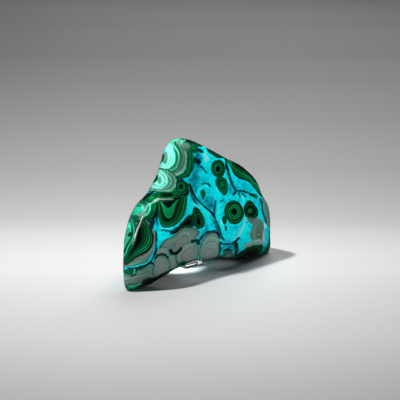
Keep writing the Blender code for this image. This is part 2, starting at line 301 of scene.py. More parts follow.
        (-31, -48.9), (-28.4, -48.5), (-25, -46.9), (-20.2, -44.6), (-16.6, -43.4), (-16, -48), (-28, -54),
        (-36, -60))),
    plain("moss", 3, (-44.6, -45.6), oval((-44.6, -45.6), 3, 1.5, 4)),
    # The show face's eyes.
    Nodule("eye", 1, (11.7, 19.4), (
        (0.30, oval((11.7, 19.4), 1.3, 1.7)), (0.60, oval((11.6, 19.5), 2.5, 3.1, 6)),
        (1.00, oval((11.6, 19.7), 4.7, 5.9, 8)),
    )),
    Nodule("moss", 2, (13.8, 9.8), (
        (0.36, oval((13.8, 9.8), 1.9, 2.1)),
        (1.00, ((17.5, 10), (17.7, 7), (17.2, 4.2), (15.5, 2.7), (13.4, 3.8), (11.2, 6.6), (9.6, 9.4),
            (9.2, 12), (10.4, 13.9), (13, 14.4), (16.2, 13.4))),
    )),
    Nodule("eye", 1, (21.7, -7.2), (
        (0.34, oval((21.7, -7.2), 2.1, 2.4)), (0.66, oval((21.6, -7.6), 3.9, 4.9, 6)),
        (1.00, oval((21.3, -7.8), 5.9, 7.9, 8)),
    )),
    Nodule("bud", 2, (31.3, -7), (
        (0.36, oval((31.3, -7), 1.5, 1.7)), (0.62, oval((31.8, -6.9), 3, 3.3)),
        (1.00, ((36.4, -8.6), (35.6, -4), (33.4, -1), (31.4, -0.2), (29.2, -1.2), (27.6, -4.4), (27.6, -8),
            (29, -10.6), (32, -11.2), (35.2, -11))),
    )),
    Nodule("dusk", 2, (-0.9, -13.2), (
        (0.36, oval((-0.8, -13.3), 1.4, 3, 6)), (0.66, oval((-0.8, -13), 2.3, 4.4, 6)),
        (1.00, ((2.9, -13.5), (2.2, -9.5), (0.6, -7), (-1.2, -5.2), (-3.6, -3.8), (-4.9, -6.5), (-5, -10),
            (-4.7, -14), (-3, -17.2), (-0.6, -18.6), (1.8, -17.2))),
    )),
    plain("nest", 1, (-7.4, -14.2), ((-3.6, -10), (-5, -9), (-7, -9.2), (-9.4, -11.4), (-11.8, -14.4),
        (-14.2, -17.8), (-16.9, -21.4), (-13.4, -19.6), (-10, -17.5), (-6, -16.9), (-3.4, -16))),
    plain("moss", 1, (2, 3.8), ((3.9, 4), (3.3, 5.6), (2, 6.8), (0.8, 6.4), (0.2, 4.4), (0.6, 2.8),
        (1.3, 1), (2.2, 0.2), (3.2, 2.1))),
    plain("moss", 2, (15.2, -13), ((16.9, -13), (16.2, -10.4), (14.6, -10.4), (13.9, -13), (14.4, -15.4),
        (15.6, -16), (16.6, -15))),
    plain("moss", 1, (16.4, -17.6), oval((16.4, -17.6), 0.9, 2.4, 10)),
    # The right shoulder's crescent and the green strip along the top edge.
    Nodule("crescent", 1, (36, 30), (
        (0.40, ((22.4, 23.2), (26, 20.2), (30, 17.4), (33.6, 14.6), (36, 12), (46, 16), (44, 40),
            (20, 36))),
        (0.62, ((19.2, 23.6), (21.2, 20.4), (24.2, 17.8), (28, 15.8), (31.8, 14), (34.6, 10.6), (40, 6),
            (50, 14), (50, 44), (16, 40))),
        (1.00, ((15.2, 26.4), (17.2, 24), (18.6, 21.4), (20, 18.4), (22, 15.4), (25.2, 13.3), (29, 12),
            (31.8, 10.4), (33.6, 7.6), (36, 4.8), (44, 0), (60, 10), (60, 50), (12, 46))),
    )),
    plain("nest", 2, (10, 30.6), ((16, 26.2), (12.4, 26.1), (10, 27.1), (7.6, 28.8), (5, 30.6), (4, 34),
        (10, 38), (18, 32))),
    plain("moss", 1, (34, 2.6), ((37.2, 2.4), (35.4, 3.6), (32, 4.2), (30.4, 3.6), (32.6, 2.2), (35, 0.8),
        (36.6, 0.8))),
    # The short leg. Its grey nodules are a painted reflection of the table on its lower faces, and its
    # small grey cap is a painted highlight on a bump.
    Nodule("dim", 1, (37.2, -19.4), (
        (0.50, oval((37.2, -19.6), 2.4, 4.6, -8)),
        (1.00, ((40.3, -20), (40.2, -16), (38.8, -12.6), (36, -12.2), (33.4, -14.6), (31.9, -18.5),
            (31.6, -22.5), (33.2, -25.8), (36, -26.6), (39, -25.2))),
    )),
    plain("dim", 1, (32.6, -11.6), ((36.4, -11), (35, -13.6), (32.2, -15.2), (29.8, -13), (29, -10),
        (32, -8.6), (35.6, -8.8))),
    plain("dim", 1, (43.6, -7.6), ((39, 1), (40.3, -4.6), (41.1, -9.6), (42, -15.4), (46, -17), (48, -8),
        (45, 1), (41, 4))),
    plain("nest", 2, (31.6, -35.4), ((23.8, -34.2), (26.5, -31.7), (29.5, -29.4), (33, -27.9), (37, -27.3),
        (39.6, -28.6), (39.8, -31), (38.4, -34.5), (36.5, -37.4), (34, -41), (26, -40), (23, -36.6))),
    # A painted highlight on a small bump.
    plain("cap", 1, (17.6, -35.6), ((12, -36.4), (13.5, -34.7), (15.5, -33.1), (18, -32.2), (20.2, -32.8),
        (21.6, -34.6), (22, -38), (17, -40), (12, -39))),
    plain("moss", 2, (15, -38), ((8.6, -36), (12, -35.4), (16, -36.1), (20.4, -35.6), (22.4, -38),
        (15, -42), (9, -40))),
    plain("moss", 1, (44.6, -33), ((43.9, -19), (43.3, -25), (42.4, -28.4), (40.9, -31.5), (39.2, -33.8),
        (37.8, -36), (40, -42), (50, -38), (50, -24))),
)

# The dark veins between the chrysocolla's lobes: half widths, and the points they run through.
VEINS = (
    (0.85, ((-7, 9.8), (-5.6, 6.2), (-4.4, 3.8))),
    (0.50, ((-5, 5.2), (-2.4, 1.4), (0.4, -1.9), (4, -5), (7.4, -7.9), (9.2, -10.8), (11, -16), (12.8, -21),
        (14.8, -25.2))),
    (0.35, ((-6.6, 6.4), (-5.2, 2.6), (-4, 0.4), (-1.8, -2.4))),
    (0.40, ((8.9, -9.6), (9.4, -5), (9.9, -0.5))),
    (0.40, ((0.4, 21.4), (2.4, 19.4), (4, 17.2))),
    (0.30, ((-0.6, 28.8), (-2.6, 26.4))),
    (0.40, ((1.3, 9.9), (3.4, 10.6), (5, 9.9), (6.4, 8.6))),
    (0.55, ((16.4, 24), (17.3, 20), (18.3, 15.4), (19.5, 12.4))),
    (0.55, ((19.5, 12.4), (21.4, 8.6), (22.7, 5.8), (20.8, 3.4))),
    (0.40, ((22.6, 6.2), (26.8, 5.6), (30.6, 4.4), (33, 3))),
    (0.45, ((24.2, 4.4), (25.2, 1.6))),
    (0.35, ((26.6, 4.2), (28.8, 2))),
    (0.45, ((13, -1.2), (14.6, 0.2))),
    (0.45, ((13.2, -26.8), (14.6, -27.8), (17, -27.9), (20.4, -27.9))),
    (0.60, ((20.2, -27.4), (22.2, -26.6), (24.6, -23.8))),
    (0.95, ((22.4, -27.6), (23.2, -31), (22.6, -34.8))),
    (0.60, ((15, -32.2), (17.2, -31.2), (19.4, -32))),
    (0.45, ((12.6, -27), (12.6, -31), (11.6, -35))),
    (0.40, ((38.4, 0.6), (39.4, -5), (40.4, -9.6), (41.6, -14.4))),
    (0.45, ((-24, -19), (-20.8, -19.6), (-17.8, -20.2))),
    (1.10, ((-17.6, -20.8), (-14, -18))),
    (0.50, ((-13.6, -17.4), (-11.2, -14.4))),
    (0.40, ((-28, -20), (-27.6, -25), (-27.8, -30.6))),
    (0.80, ((-27.4, -30.4), (-28.8, -35))),
    (0.55, ((-28.8, -35), (-30.6, -38.6), (-33.4, -41), (-38.4, -42.2), (-45.4, -43.4))),
    (0.90, ((-4.6, -25.9), (-2.4, -25.7), (-0.4, -27.4))),
    (0.60, ((-0.6, -26.4), (1.6, -22.8), (5, -20.6))),
    (0.50, ((5, -20.6), (8, -19.5), (11, -20.6), (12.6, -24))),
    (0.85, ((-18.6, -31.6), (-17, -33.6), (-15, -33.8), (-13, -32), (-12, -30.6))),
    (0.50, ((-28, -36.6), (-26.6, -34.9), (-24, -34), (-21.2, -34.7), (-19.8, -36))),
    (0.35, ((-43.4, -47.8), (-41.4, -47.4), (-40.2, -45.8), (-40.4, -44))),
    (0.50, ((-26.8, -4.6), (-26.6, -8.6), (-27.2, -12.4))),
    (0.60, ((-35.8, 0.4), (-32.6, 3.2), (-29.4, 5))),
    (0.90, ((-45, -22.2), (-44.2, -21.4))),
    (0.12, ((-43.2, -7.2), (-41.4, -10.4), (-40.2, -13))),
    (0.22, ((-37.6, -1.6), (-36, -2.2), (-34.8, -1.4))),
    (0.15, ((-35.2, -3), (-33.8, -2.4))),
    (0.15, ((-41.2, -9.8), (-39.6, -10.6))),
    (0.12, ((-39.4, -4), (-37.8, -3.4))),
    (0.40, ((-15, 13.6), (-12.6, 13.8), (-10.6, 13))),
)

# Black hollows that no nodule filled: the middle, the half sizes across and up, and the lean.
HOLLOWS = (
    ((-30, -14.2), (1.7, 4.2), -12),
    ((-28, -9.8), (0.9, 3), -10),
    ((-32, -13.2), (1.6, 1), -20),
    ((-32.2, 3.4), (4.6, 1), 32),
    ((-20.4, -2.6), (2.6, 1.5), 0),
    ((-1.8, 24.4), (2.5, 1.9), -34),
    ((-3.2, 26), (0.9, 1.6), -10),
    ((0.6, 31), (2.3, 1.3), -22),
)

# Lines drawn over everything: half widths, and the points they run through. A half width below 0 is
# thinner than the grid's steps need, and leaves only the line's soft middle.
# Mint bands, and painted highlights along the tower's top-left edge and the long foot's bottom rim.
MINT_AND_HIGHLIGHT_LINES = (
    (0.18, ((-32.4, -2.6), (-31.2, -3.4), (-31.6, -6), (-33.4, -8.8), (-36.6, -11))),
    (0.70, ((-19.4, 36.2), (-17, 37.4), (-14, 38.4))),
    (0.35, ((-9.9, 37.8), (-11, 36.6), (-11.9, 35.4))),
    (0.45, ((-44.8, -54.8), (-41, -54.2), (-37.6, -52.8))),
    (0.35, ((-41, -43.6), (-40.9, -45.4), (-41.8, -46.6))),
)
# Painted sheen: pale streaks of reflected light along the ledge, the shoulder's diagonal and the short
# leg's ridges.
PAINTED_SHEEN_LINES = (
    (0.20, ((-31, -2.4), (-29.4, -1))),
    (0.60, ((-28.8, -0.8), (-27.4, -0.1), (-26, 0.5))),
    (0.20, ((-25.4, 0.8), (-22.8, 0.5))),
    (0.02, ((-22.8, 0.5), (-19.6, 0.5), (-17.4, 0.7))),
    (0.25, ((-31.2, -2.2), (-32.8, -3.8), (-34.2, -5.6), (-35.6, -7.2), (-37.2, -9.6))),
    (0.15, ((-38.8, -9.4), (-37.4, -10.4))),
    (0.25, ((-34.4, -8.2), (-36.2, -10.2), (-37.6, -12.2))),
    (0.55, ((28.4, -29), (31, -27.6), (34, -26.5))),
    (0.80, ((34, -26.3), (37.6, -25.2), (39.6, -26.6))),
    (0.45, ((30.6, -28.8), (33.8, -27.6), (38.4, -27.3))),
    (0.50, ((40.2, -19), (40.2, -23), (39.8, -27))),
    (0.35, ((23.2, -22.8), (25, -20.4), (25.9, -17.4))),
)
# Painted glints: small bright highlights on the ridges of both legs and on the shoulder.
GLINT_LINES = (
    (0.30, ((41, -15.4), (41.3, -16.8))),
    (0.10, ((40.1, -20.6), (40.3, -24), (40, -26.4))),
    (-0.16, ((-40.4, -20.6), (-41, -23.4), (-41.3, -25.4))),
    (0.02, ((-36.6, -3.6), (-36.2, -4.6))),
    (-0.18, ((34.6, -26.2), (36.6, -25.5), (38.6, -25.4))),
)
# Pale cyan edges of the chrysocolla, and painted highlights: the spot on the short leg's ridge and the
# speck on the shoulder.
FROST_AND_HIGHLIGHT_LINES = (
    (0.12, ((-36.4, -4.2), (-35.8, -5.4))),
    (0.50, ((19.8, -25.6), (22.6, -24.6), (25.2, -22), (27, -18.6), (28.2, -14.8), (28.6, -11.4))),
    (0.70, ((41, -15.4), (41.2, -17.4))),
    (0.30, ((1.4, -3.8), (4.4, -6), (7.6, -9.4), (9.4, -13))),
    (0.30, ((-4.6, -1.4), (-2.8, -3), (-0.8, -4.6))),
    (0.14, ((-25.6, -17.2), (-23.6, -18.3), (-20.4, -18.5), (-17, -17.9))),
)

# The drawn lines by name. The pale and glint lines are painted sheen and highlights, and the mint and frost
# lines hold some painted highlights among the stone's own bands and edges.
LINES = {"mint": MINT_AND_HIGHLIGHT_LINES, "pale": PAINTED_SHEEN_LINES, "frost": FROST_AND_HIGHLIGHT_LINES, "glint": GLINT_LINES}

# Where the chrysocolla is pale (above 0) or deep (below 0): a line, the reach round it and the amount.
TONES = (
    (((2.4, 29.6), (4.4, 26.8)), 1.9, 1.4),
    (((4, 25), (2.6, 22.6)), 1.9, 0.6),
    (((3.6, 24), (3.4, 20.4), (2.6, 17)), 3.2, 0.5),
    (((-1, 29.6), (0.6, 26.4), (-0.8, 22.4)), 1.5, -0.9),
    (((-5.2, 29), (-2.6, 28.6)), 1.2, -0.5),
    (((17.7, 23.4), (18.9, 19), (20.4, 15.6), (22.6, 13)), 1.2, 0.5),
    (((15.4, 16), (16.4, 13.2), (18.6, 11.6)), 0.9, 0.9),
    (((16.4, 25), (16.6, 20), (17.2, 16)), 0.7, -0.5),
    (((4, 14), (6.4, 11.6)), 2.6, 0.3),
    (((-2.4, 20.4), (-3, 15.4), (-4, 10.2), (-2.8, 5.8)), 2.3, -0.8),
    (((-8.6, 12.6), (-6.4, 13.4)), 1.6, -0.4),
    (((-1.6, 2), (-0.4, 6.6), (2, 9), (5.4, 8.6)), 1.1, 0.9),
    (((4.4, -0.6), (7.2, -3.4)), 2.6, -0.7),
    (((6.2, 5), (8.4, 0)), 1.6, -0.2),
    (((10.6, 8.4), (11.2, 4), (12.4, 1.6)), 1.3, 0.75),
    (((15.6, 2), (19.4, 4.6)), 1.5, 0),
    (((18.4, 9), (19.4, 5.6)), 1.2, -0.4),
    (((24.6, 9.6), (29.6, 7.6), (34, 6)), 2.2, 0.1),
    (((23.6, 1.8), (27.6, 2.6), (31, 1.8)), 1.5, 0.5),
    (((9, 2.6), (8.4, 12), (8, 18)), 2, 0.25),
    (((16.4, 1.2), (22, 2.6), (26.4, 2), (30, 0.6)), 1.1, 0.8),
    (((27.4, -0.6), (28, -2.4)), 1.2, 0.7),
    (((12.2, -1.8), (11.8, -8), (12.8, -13), (14.4, -17.6)), 1.8, 0.9),
    (((15.6, -22.4), (20.4, -22.8)), 2.8, 0.35),
    (((19.6, -18), (21.6, -19.4)), 1.6, 0.1),
    (((2.6, -5.6), (4.8, -9.8), (6.2, -13.6)), 1.3, 0.9),
    (((6.6, -17.4), (7.4, -19)), 1.2, 0.6),
    (((8.6, -12.4), (9.8, -16.6), (11.4, -20.8)), 1, -1),
    (((3.8, -16), (4.2, -19)), 1, -0.7),
    (((26, -20), (28.4, -23.6), (25.2, -28.4)), 2.4, 0.55),
    (((29.6, -16), (30.6, -19.6)), 1.2, 0.5),
    (((36.4, -0.6), (38, -6), (39.6, -12.2)), 1, 0.15),
    (((42.4, -20), (41.8, -27)), 1, 0.2),
    (((40.8, -30.6), (38.8, -34)), 1.4, -0.9),
    (((13.4, -30.6), (17.6, -29.6), (21.2, -31)), 1.4, -0.5),
    (((-25.2, -20.4), (-25.8, -24.6)), 1.7, 0.3),
    (((-21, -21.6), (-18.6, -22.8)), 1.5, 0.2),
    (((-24.4, -27), (-25, -29.4)), 1.2, -0.4),
    (((-27.2, -13.4), (-27, -17)), 0.9, -0.8),
    (((-28.2, -19), (-28, -28)), 0.8, -0.6),
    (((-6.8, 1), (-6, -3), (-6.2, -7)), 1.4, 0.3),
    (((-4.6, 2.4), (-3, -1)), 1, -0.5),
    (((-29, 8), (-28, 5.6)), 1, -0.2),
)

# Every ripple is a sum of so many waves, with lengths spread between these shares of its wavelength.
RIPPLE_WAVES = 14
RIPPLE_SPREAD = (0.7, 1.6)
RIPPLE_PEAK = 1.6  # how many times its usual height the sum seldom passes

# How the drawing wavers where it lies on the stone: a wavelength, a height, and a seed each way.
WAVERS = ((8, 0.26, (1, 2)), (3, 0.09, (3, 4)))

# The nodules of the sides and the back, which no sheet shows, are dealt out at random: how many there
# are, their radii, and each kind's share of them. A ripple makes them lumpy.
HIDDEN_NODULES = 120
HIDDEN_RADII = (4.0, 11.0)
HIDDEN_KINDS = {
    "nest": 0.24, "eye": 0.20, "crescent": 0.12, "lower": 0.10, "bud": 0.12, "leg": 0.08, "fork": 0.08,
    "shoulder": 0.06,
}
HIDDEN_SEED = 41
LUMP_LENGTH = 9
LUMP_SHARE = 0.10
LUMP_SEED = 7
# How far the chrysocolla's tone swings there, and the length of its patches.
HIDDEN_TONE = 0.55
TONE_LENGTH = 22
TONE_SEED = 5

# The drawing gives way to the dealt-out nodules as the surface turns from the sheet. Facing is 1 where
# the surface looks straight at the sheet, and 0 where it is edge on.
EDGE_ON = 0.0  # nothing of the drawing is left here
SQUARE_ON = 0.14  # and all of it shows from here on
WAVY_EDGE = 0.12  # the change wavers by so much, so the two don't meet along a straight line
WAVY_LENGTH = 12
WAVY_SEED = 6
WAVY_FROM = 0.3  # it starts to waver at this facing
GIVE_WAY = 1.6  # the growth that a nodule which has given way is set back by
OVERLAP = 0.45  # the share of the change over which both kinds of nodule stay as they are
FAR = 9.0  # nothing reads a distance or a growth past this


def smooth_max(a, b, radius):
    """The greater of a and b, with the corner between them rounded."""
    share = np.clip(0.5 + 0.5 * (a - b) / radius, 0, 1)
    return b + (a - b) * share + radius * share * (1 - share)


def smooth_step(value, low, high):
    """0 below low, 1 above high, and a smooth rise between them."""
    share = np.clip((value - low) / (high - low), 0, 1)
    return share * share * (3 - 2 * share)


def above_plane(points, through, normal):
    """Signed distance from a plane, positive on the side that its normal points to."""
    normal = np.asarray(normal, float)
    return (points - np.asarray(through, float)) @ (normal / np.linalg.norm(normal))


def cubic(share, start, start_slope, end, end_slope):
    """A cubic from start to end with the given slopes, at a share of the way."""
    return (
        (2 * share**3 - 3 * share**2 + 1) * start
        + (share**3 - 2 * share**2 + share) * start_slope
        + (3 * share**2 - 2 * share**3) * end
        + (share**3 - share**2) * end_slope
    )


def trace_outline():
    """The outline's radius about its centre, and its length so far, at even steps of angle.

    A closed cubic runs through the turning points in polar form, with the slope at each point
    that of the chord between its neighbours.
    """
    spokes = np.asarray(OUTLINE, float) - OUTLINE_CENTRE
    radii = np.hypot(spokes[:, 0], spokes[:, 1])
    angles = np.arctan2(spokes[:, 1], spokes[:, 0]) % (2 * np.pi)
    order = np.argsort(angles)
    angles, radii = angles[order], radii[order]
    angles = np.concatenate([angles[-2:] - 2 * np.pi, angles, angles[:2] + 2 * np.pi])
    radii = np.concatenate([radii[-2:], radii, radii[:2]])
    slopes = np.zeros_like(radii)
    slopes[1:-1] = (radii[2:] - radii[:-2]) / (angles[2:] - angles[:-2])
    theta = np.linspace(0, 2 * np.pi, OUTLINE_STEPS + 1)
    left = np.searchsorted(angles, theta, side="right") - 1
    width = angles[left + 1] - angles[left]
    share = (theta - angles[left]) / width
    radius = cubic(share, radii[left], width * slopes[left], radii[left + 1], width * slopes[left + 1])
    steps = np.hypot(np.diff(radius * np.cos(theta)), np.diff(radius * np.sin(theta)))
    travelled = np.concatenate([[0], np.cumsum(steps)])
    return theta, radius, travelled


THETA, RADIUS, TRAVELLED = trace_outline()


def outline_wall(points):
    """Distance outside the slanted, tapered wall that carries the outline back."""
    depth = np.clip(points[..., 1], FRONT_Y, DEEPEST)
    across = (points[..., 0] - SLANT * depth) / (1 - TAPER * depth) - OUTLINE_CENTRE[0]
    up = points[..., 2] - OUTLINE_CENTRE[1]
    angle = np.arctan2(up, across) % (2 * np.pi)
    return (np.hypot(across, up) - np.interp(angle, THETA, RADIUS)) * WALL_LEAN


def belly(points):
    """How far the long foot's belly stands out, as a turned bell curve in X and Z."""
    across = points[..., 0] - BELLY_CENTRE[0]
    up = points[..., 2] - BELLY_CENTRE[1]
    along = across * np.cos(BELLY_TURN) + up * np.sin(BELLY_TURN)
    beside = up * np.cos(BELLY_TURN) - across * np.sin(BELLY_TURN)
    return BELLY_HEIGHT * np.exp(-((along / BELLY_SPREAD[0]) ** 2) - (beside / BELLY_SPREAD[1]) ** 2)


def stone_field(points):
    """Negative inside the stone, positive outside, in millimetres near the surface.

    Each ground face takes off what lies in front of its plane, except where its relief stands off.
    The last one grinds the feet flat on the floor.
    """
    swell = belly(points)
    ledge = LEDGE_DEPTH * (1 - smooth_step(points[..., 2], LEDGE_FOOT, LEDGE_TOP))
    apron = swell + APRON_DEPTH * smooth_step(points[..., 0], APRON_EDGE, APRON_END)
    field = outline_wall(points)
    for (through, normal, radius), relief in (
        (SHOW_FACE, swell),
        (TOWER_FACE, ledge),
        (FLANK_FACE, 0),
        (APRON_FACE, apron),
        (SHORT_LEG_FACE, 0),
        (CHEEK_FACE, 0),
        (UNDER_FACE, 0),
        (BACK_FACE, 0),
        (FOOT_FACE, 0),
    ):
        field = smooth_max(field, above_plane(points, through, normal) - relief, radius)
    return field


def square_to_outline(across, up):
    """Carry a square of half width 1 onto the outline, its rim at even steps of the outline's length."""
    ring = np.maximum(np.maximum(np.abs(across), np.abs(up)), NEARLY_NONE)
    x, z = across / ring, up / ring
    quarter = np.where(x >= np.abs(z), 0, np.where(z >= np.abs(x), 1, np.where(x <= -np.abs(z), 2, 3)))
    along = np.choose(quarter, [z, -x, -z, x])
    share = ((quarter + 0.5 + along / 2) / 4) % 1
    angle = np.interp(share * TRAVELLED[-1], TRAVELLED, THETA)
    radius = ring * np.interp(angle, THETA, RADIUS)
    return OUTLINE_CENTRE[0] + radius * np.cos(angle), OUTLINE_CENTRE[1] + radius * np.sin(angle)


def onto_stone(corners):
    """Carry points of a cube of half width 1 onto the stone's surface.

    Each point goes to its place in the slanted prism, and then along the ray from the stone's heart
    through that place, by halving, to where the field is zero.
    """
    x, z = square_to_outline(corners[:, 0], corners[:, 2])
    y = FRONT_Y + THICKNESS * (1 + corners[:, 1]) / 2
    heart_y = FRONT_Y + THICKNESS / 2
    heart = np.array([SLANT * heart_y, heart_y, OUTLINE_CENTRE[1]])
    target = np.column_stack([x * (1 - TAPER * y) + SLANT * y, y, z])
    ray = (target - heart) * REACH
    low = np.zeros(len(ray))
    high = np.ones(len(ray))
    for _ in range(HALVINGS):
        middle = (low + high) / 2
        inside = stone_field(heart + ray * middle[:, None]) < 0
        low = np.where(inside, middle, low)
        high = np.where(inside, high, middle)
    return heart + ray * ((low + high) / 2)[:, None]


def outward(points):
    """The surface's unit normal at each point: which way the field grows fastest."""
    steps = np.eye(3) * NUDGE
    slope = np.stack([stone_field(points + step) - stone_field(points - step) for step in steps], -1)
    return slope / np.linalg.norm(slope, axis=-1, keepdims=True)


def cube_grid(steps):
    """A cube's skin of half width 1 as six grids of two parameters that share their rims.

    Each side is a grid of whole steps. Points with the same steps are one vertex, and a quad joins
    each cell's corners, turned so that it faces outwards.
    """
    quads = []
    for axis in range(3):
        first, second = (axis + 1) % 3, (axis + 2) % 3
        one, two = np.meshgrid(np.arange(steps[first]), np.arange(steps[second]), indexing="ij")
        for side in (0, 1):
            corners = []
            for more_one, more_two in ((0, 0), (1, 0), (1, 1), (0, 1)):
                place = np.zeros(one.shape + (3,), int)
                place[..., axis] = side * steps[axis]
                place[..., first] = one + more_one
                place[..., second] = two + more_two
                corners.append(place.reshape(-1, 3))
            if side == 0:
                corners.reverse()
            quads.append(np.stack(corners, axis=1))
    quads = np.concatenate(quads)
    size = np.asarray(steps) + 1
    names = (quads[..., 0] * size[1] + quads[..., 1]) * size[2] + quads[..., 2]
    unique, faces = np.unique(names, return_inverse=True)
    places = np.stack([unique // (size[1] * size[2]), unique // size[2] % size[1], unique % size[2]], -1)
    return 2 * places / np.asarray(steps) - 1, faces.reshape(names.shape)


def ripple(points, wavelength, seed):
    """A smooth random swing between about -1 and 1: a sum of sine waves that run every way."""
    rng = np.random.default_rng(seed)
    total = np.zeros(points.shape[:-1])
    for _ in range(RIPPLE_WAVES):
        heading = rng.normal(size=points.shape[-1])
        heading /= np.linalg.norm(heading)
        length = wavelength * rng.uniform(*RIPPLE_SPREAD)
        total += np.sin(points @ heading * (2 * np.pi / length) + rng.uniform(0, 2 * np.pi))
    return total / np.sqrt(RIPPLE_WAVES / 2) / RIPPLE_PEAK


def sheet_axes():
    """The drawing sheet's own axes: across, up, and back towards the place it is drawn from."""
    sin_a, cos_a = np.sin(SHEET_AZIMUTH), np.cos(SHEET_AZIMUTH)
    sin_e, cos_e = np.sin(SHEET_ELEVATION), np.cos(SHEET_ELEVATION)
    across = np.array([cos_a, sin_a, 0])
    back = np.array([sin_a * cos_e, -cos_a * cos_e, sin_e])
    return across, np.cross(back, across), back


def onto_sheet(points):
    """Where a straight line from the drawing place through each point meets the sheet, in mm."""
    across, up, back = sheet_axes()
    from_aim = points - np.array([*PLAN_MIDDLE, 0]) - AIM
    scale = SHEET_DISTANCE / (SHEET_DISTANCE - from_aim @ back)
    return np.stack([from_aim @ across * scale, from_aim @ up * scale], -1)


def closed_line(points, heart):
    """A smooth closed line's radius about a heart, at even steps of angle.

    Each run between neighbours is a cubic, with the slope at each point half the chord between the
    points on either side of it.
    """
    points = np.asarray(points, float) - heart
    before, after, beyond = (np.roll(points, shift, axis=0) for shift in (1, -1, -2))
    share = np.linspace(0, 1, CURVE_STEPS, endpoint=False)[:, None, None]
    curve = cubic(share, points, (after - before) / 2, after, (beyond - points) / 2).reshape(-1, 2)
    angle = np.arctan2(curve[:, 1], curve[:, 0])
    order = np.argsort(angle)
    return np.interp(TURNS, angle[order], np.hypot(curve[:, 0], curve[:, 1])[order], period=2 * np.pi)


def drawn_growth(nodule, drawn):
    """A drawn nodule's growth at each place, and its size in mm.

    Along each spoke from the heart, growth rises evenly from each closed line to the next one. Past
    the rim it is 1 plus the distance from the rim over the nodule's size.
    """
    across = drawn[:, 0] - nodule.heart[0]
    up = drawn[:, 1] - nodule.heart[1]
    angle = np.arctan2(up, across)
    distance = np.hypot(across, up)
    growth = np.zeros(len(drawn))
    inner, level = np.zeros(len(drawn)), 0.0
    for next_level, points in nodule.lines:
        line = closed_line(points, nodule.heart)
        outer = np.maximum(np.interp(angle, TURNS, line), inner + THINNEST)
        rise = (distance - inner) / (outer - inner) * (next_level - level)
        growth = np.where(distance > inner, level + rise, growth)
        inner, level = outer, next_level
    size = min(np.mean(line), LARGEST)
    return np.where(distance > inner, 1 + (distance - inner) / size, growth), size


def hidden_growth(points, facing):
    """Growth, size, kind and seam of the nodules that the sheet doesn't show.

    Their hearts are dealt over the surface that is turned away, and each is a lumpy ball. The seam
    is how many mm of growth part a nodule from the next one.
    """
    rng = np.random.default_rng(HIDDEN_SEED)
    turned = np.flatnonzero(facing < SQUARE_ON)
    hearts = points[rng.choice(turned, HIDDEN_NODULES)]
    radii = rng.uniform(*HIDDEN_RADII, HIDDEN_NODULES)
    choices = [KINDS.index(name) for name in HIDDEN_KINDS]
    kinds = rng.choice(choices, HIDDEN_NODULES, p=list(HIDDEN_KINDS.values()))
    lumps = 1 + LUMP_SHARE * ripple(points, LUMP_LENGTH, LUMP_SEED)
    growth = np.full(len(points), FAR)
    second = np.full(len(points), FAR)
    size = np.ones(len(points))
    kind = np.zeros(len(points), int)
    for heart, radius, which in zip(hearts, radii, kinds):
        own = np.linalg.norm(points - heart, axis=1) * lumps / radius
        second = np.minimum(second, np.maximum(own, growth))
        nearer = own < growth
        growth = np.where(nearer, own, growth)
        size = np.where(nearer, radius, size)
        kind = np.where(nearer, which, kind)
    return growth, size, kind, (second - growth) * size


def distance_to_line(drawn, line):
    """Distance to a line of straight runs."""
    nearest = np.full(len(drawn), np.inf)
    for start, end in zip(line[:-1], line[1:]):
        run = np.subtract(end, start)
        offset = drawn - start
        share = np.clip(offset @ run / (run @ run), 0, 1)
        gap = offset - share[:, None] * run
        nearest = np.minimum(nearest, np.hypot(gap[:, 0], gap[:, 1]))
    return nearest


def distance_to_lines(drawn, lines, hidden):
    """Distance outside the nearest of some drawn lines' edges, in mm, far where the drawing gives way."""
    nearest = np.full(len(drawn), FAR)
    for half_width, line in lines:
        nearest = np.minimum(nearest, distance_to_line(drawn, line) - half_width - EASE)
    return np.minimum(nearest + FAR * hidden, FAR)


def vein_distance(drawn, hidden):
    """Distance outside the nearest vein or hollow, in mm, far where the drawing gives way.

    A hollow is an oval. Its distance is the radius in half sizes, less 1, times its smaller half size.
    """
    nearest = distance_to_lines(drawn, VEINS, hidden)
    for middle, half_sizes, lean in HOLLOWS:
        turn = np.exp(-1j * np.radians(lean))
        offset = (drawn @ [1, 1j] - complex(*middle)) * turn
        away = np.hypot(offset.real / half_sizes[0], offset.imag / half_sizes[1])
        nearest = np.minimum(nearest, (away - 1) * min(half_sizes) + FAR * hidden)
    return nearest


def given_way(points, facing):
    """How far the drawing has given way: 0 where all of it shows and 1 where none is left."""
    sideways = WAVY_EDGE * ripple(points, WAVY_LENGTH, WAVY_SEED)
    sideways *= smooth_step(WAVY_FROM - facing, 0, WAVY_FROM)
    return 1 - smooth_step(facing + sideways, EDGE_ON, SQUARE_ON)


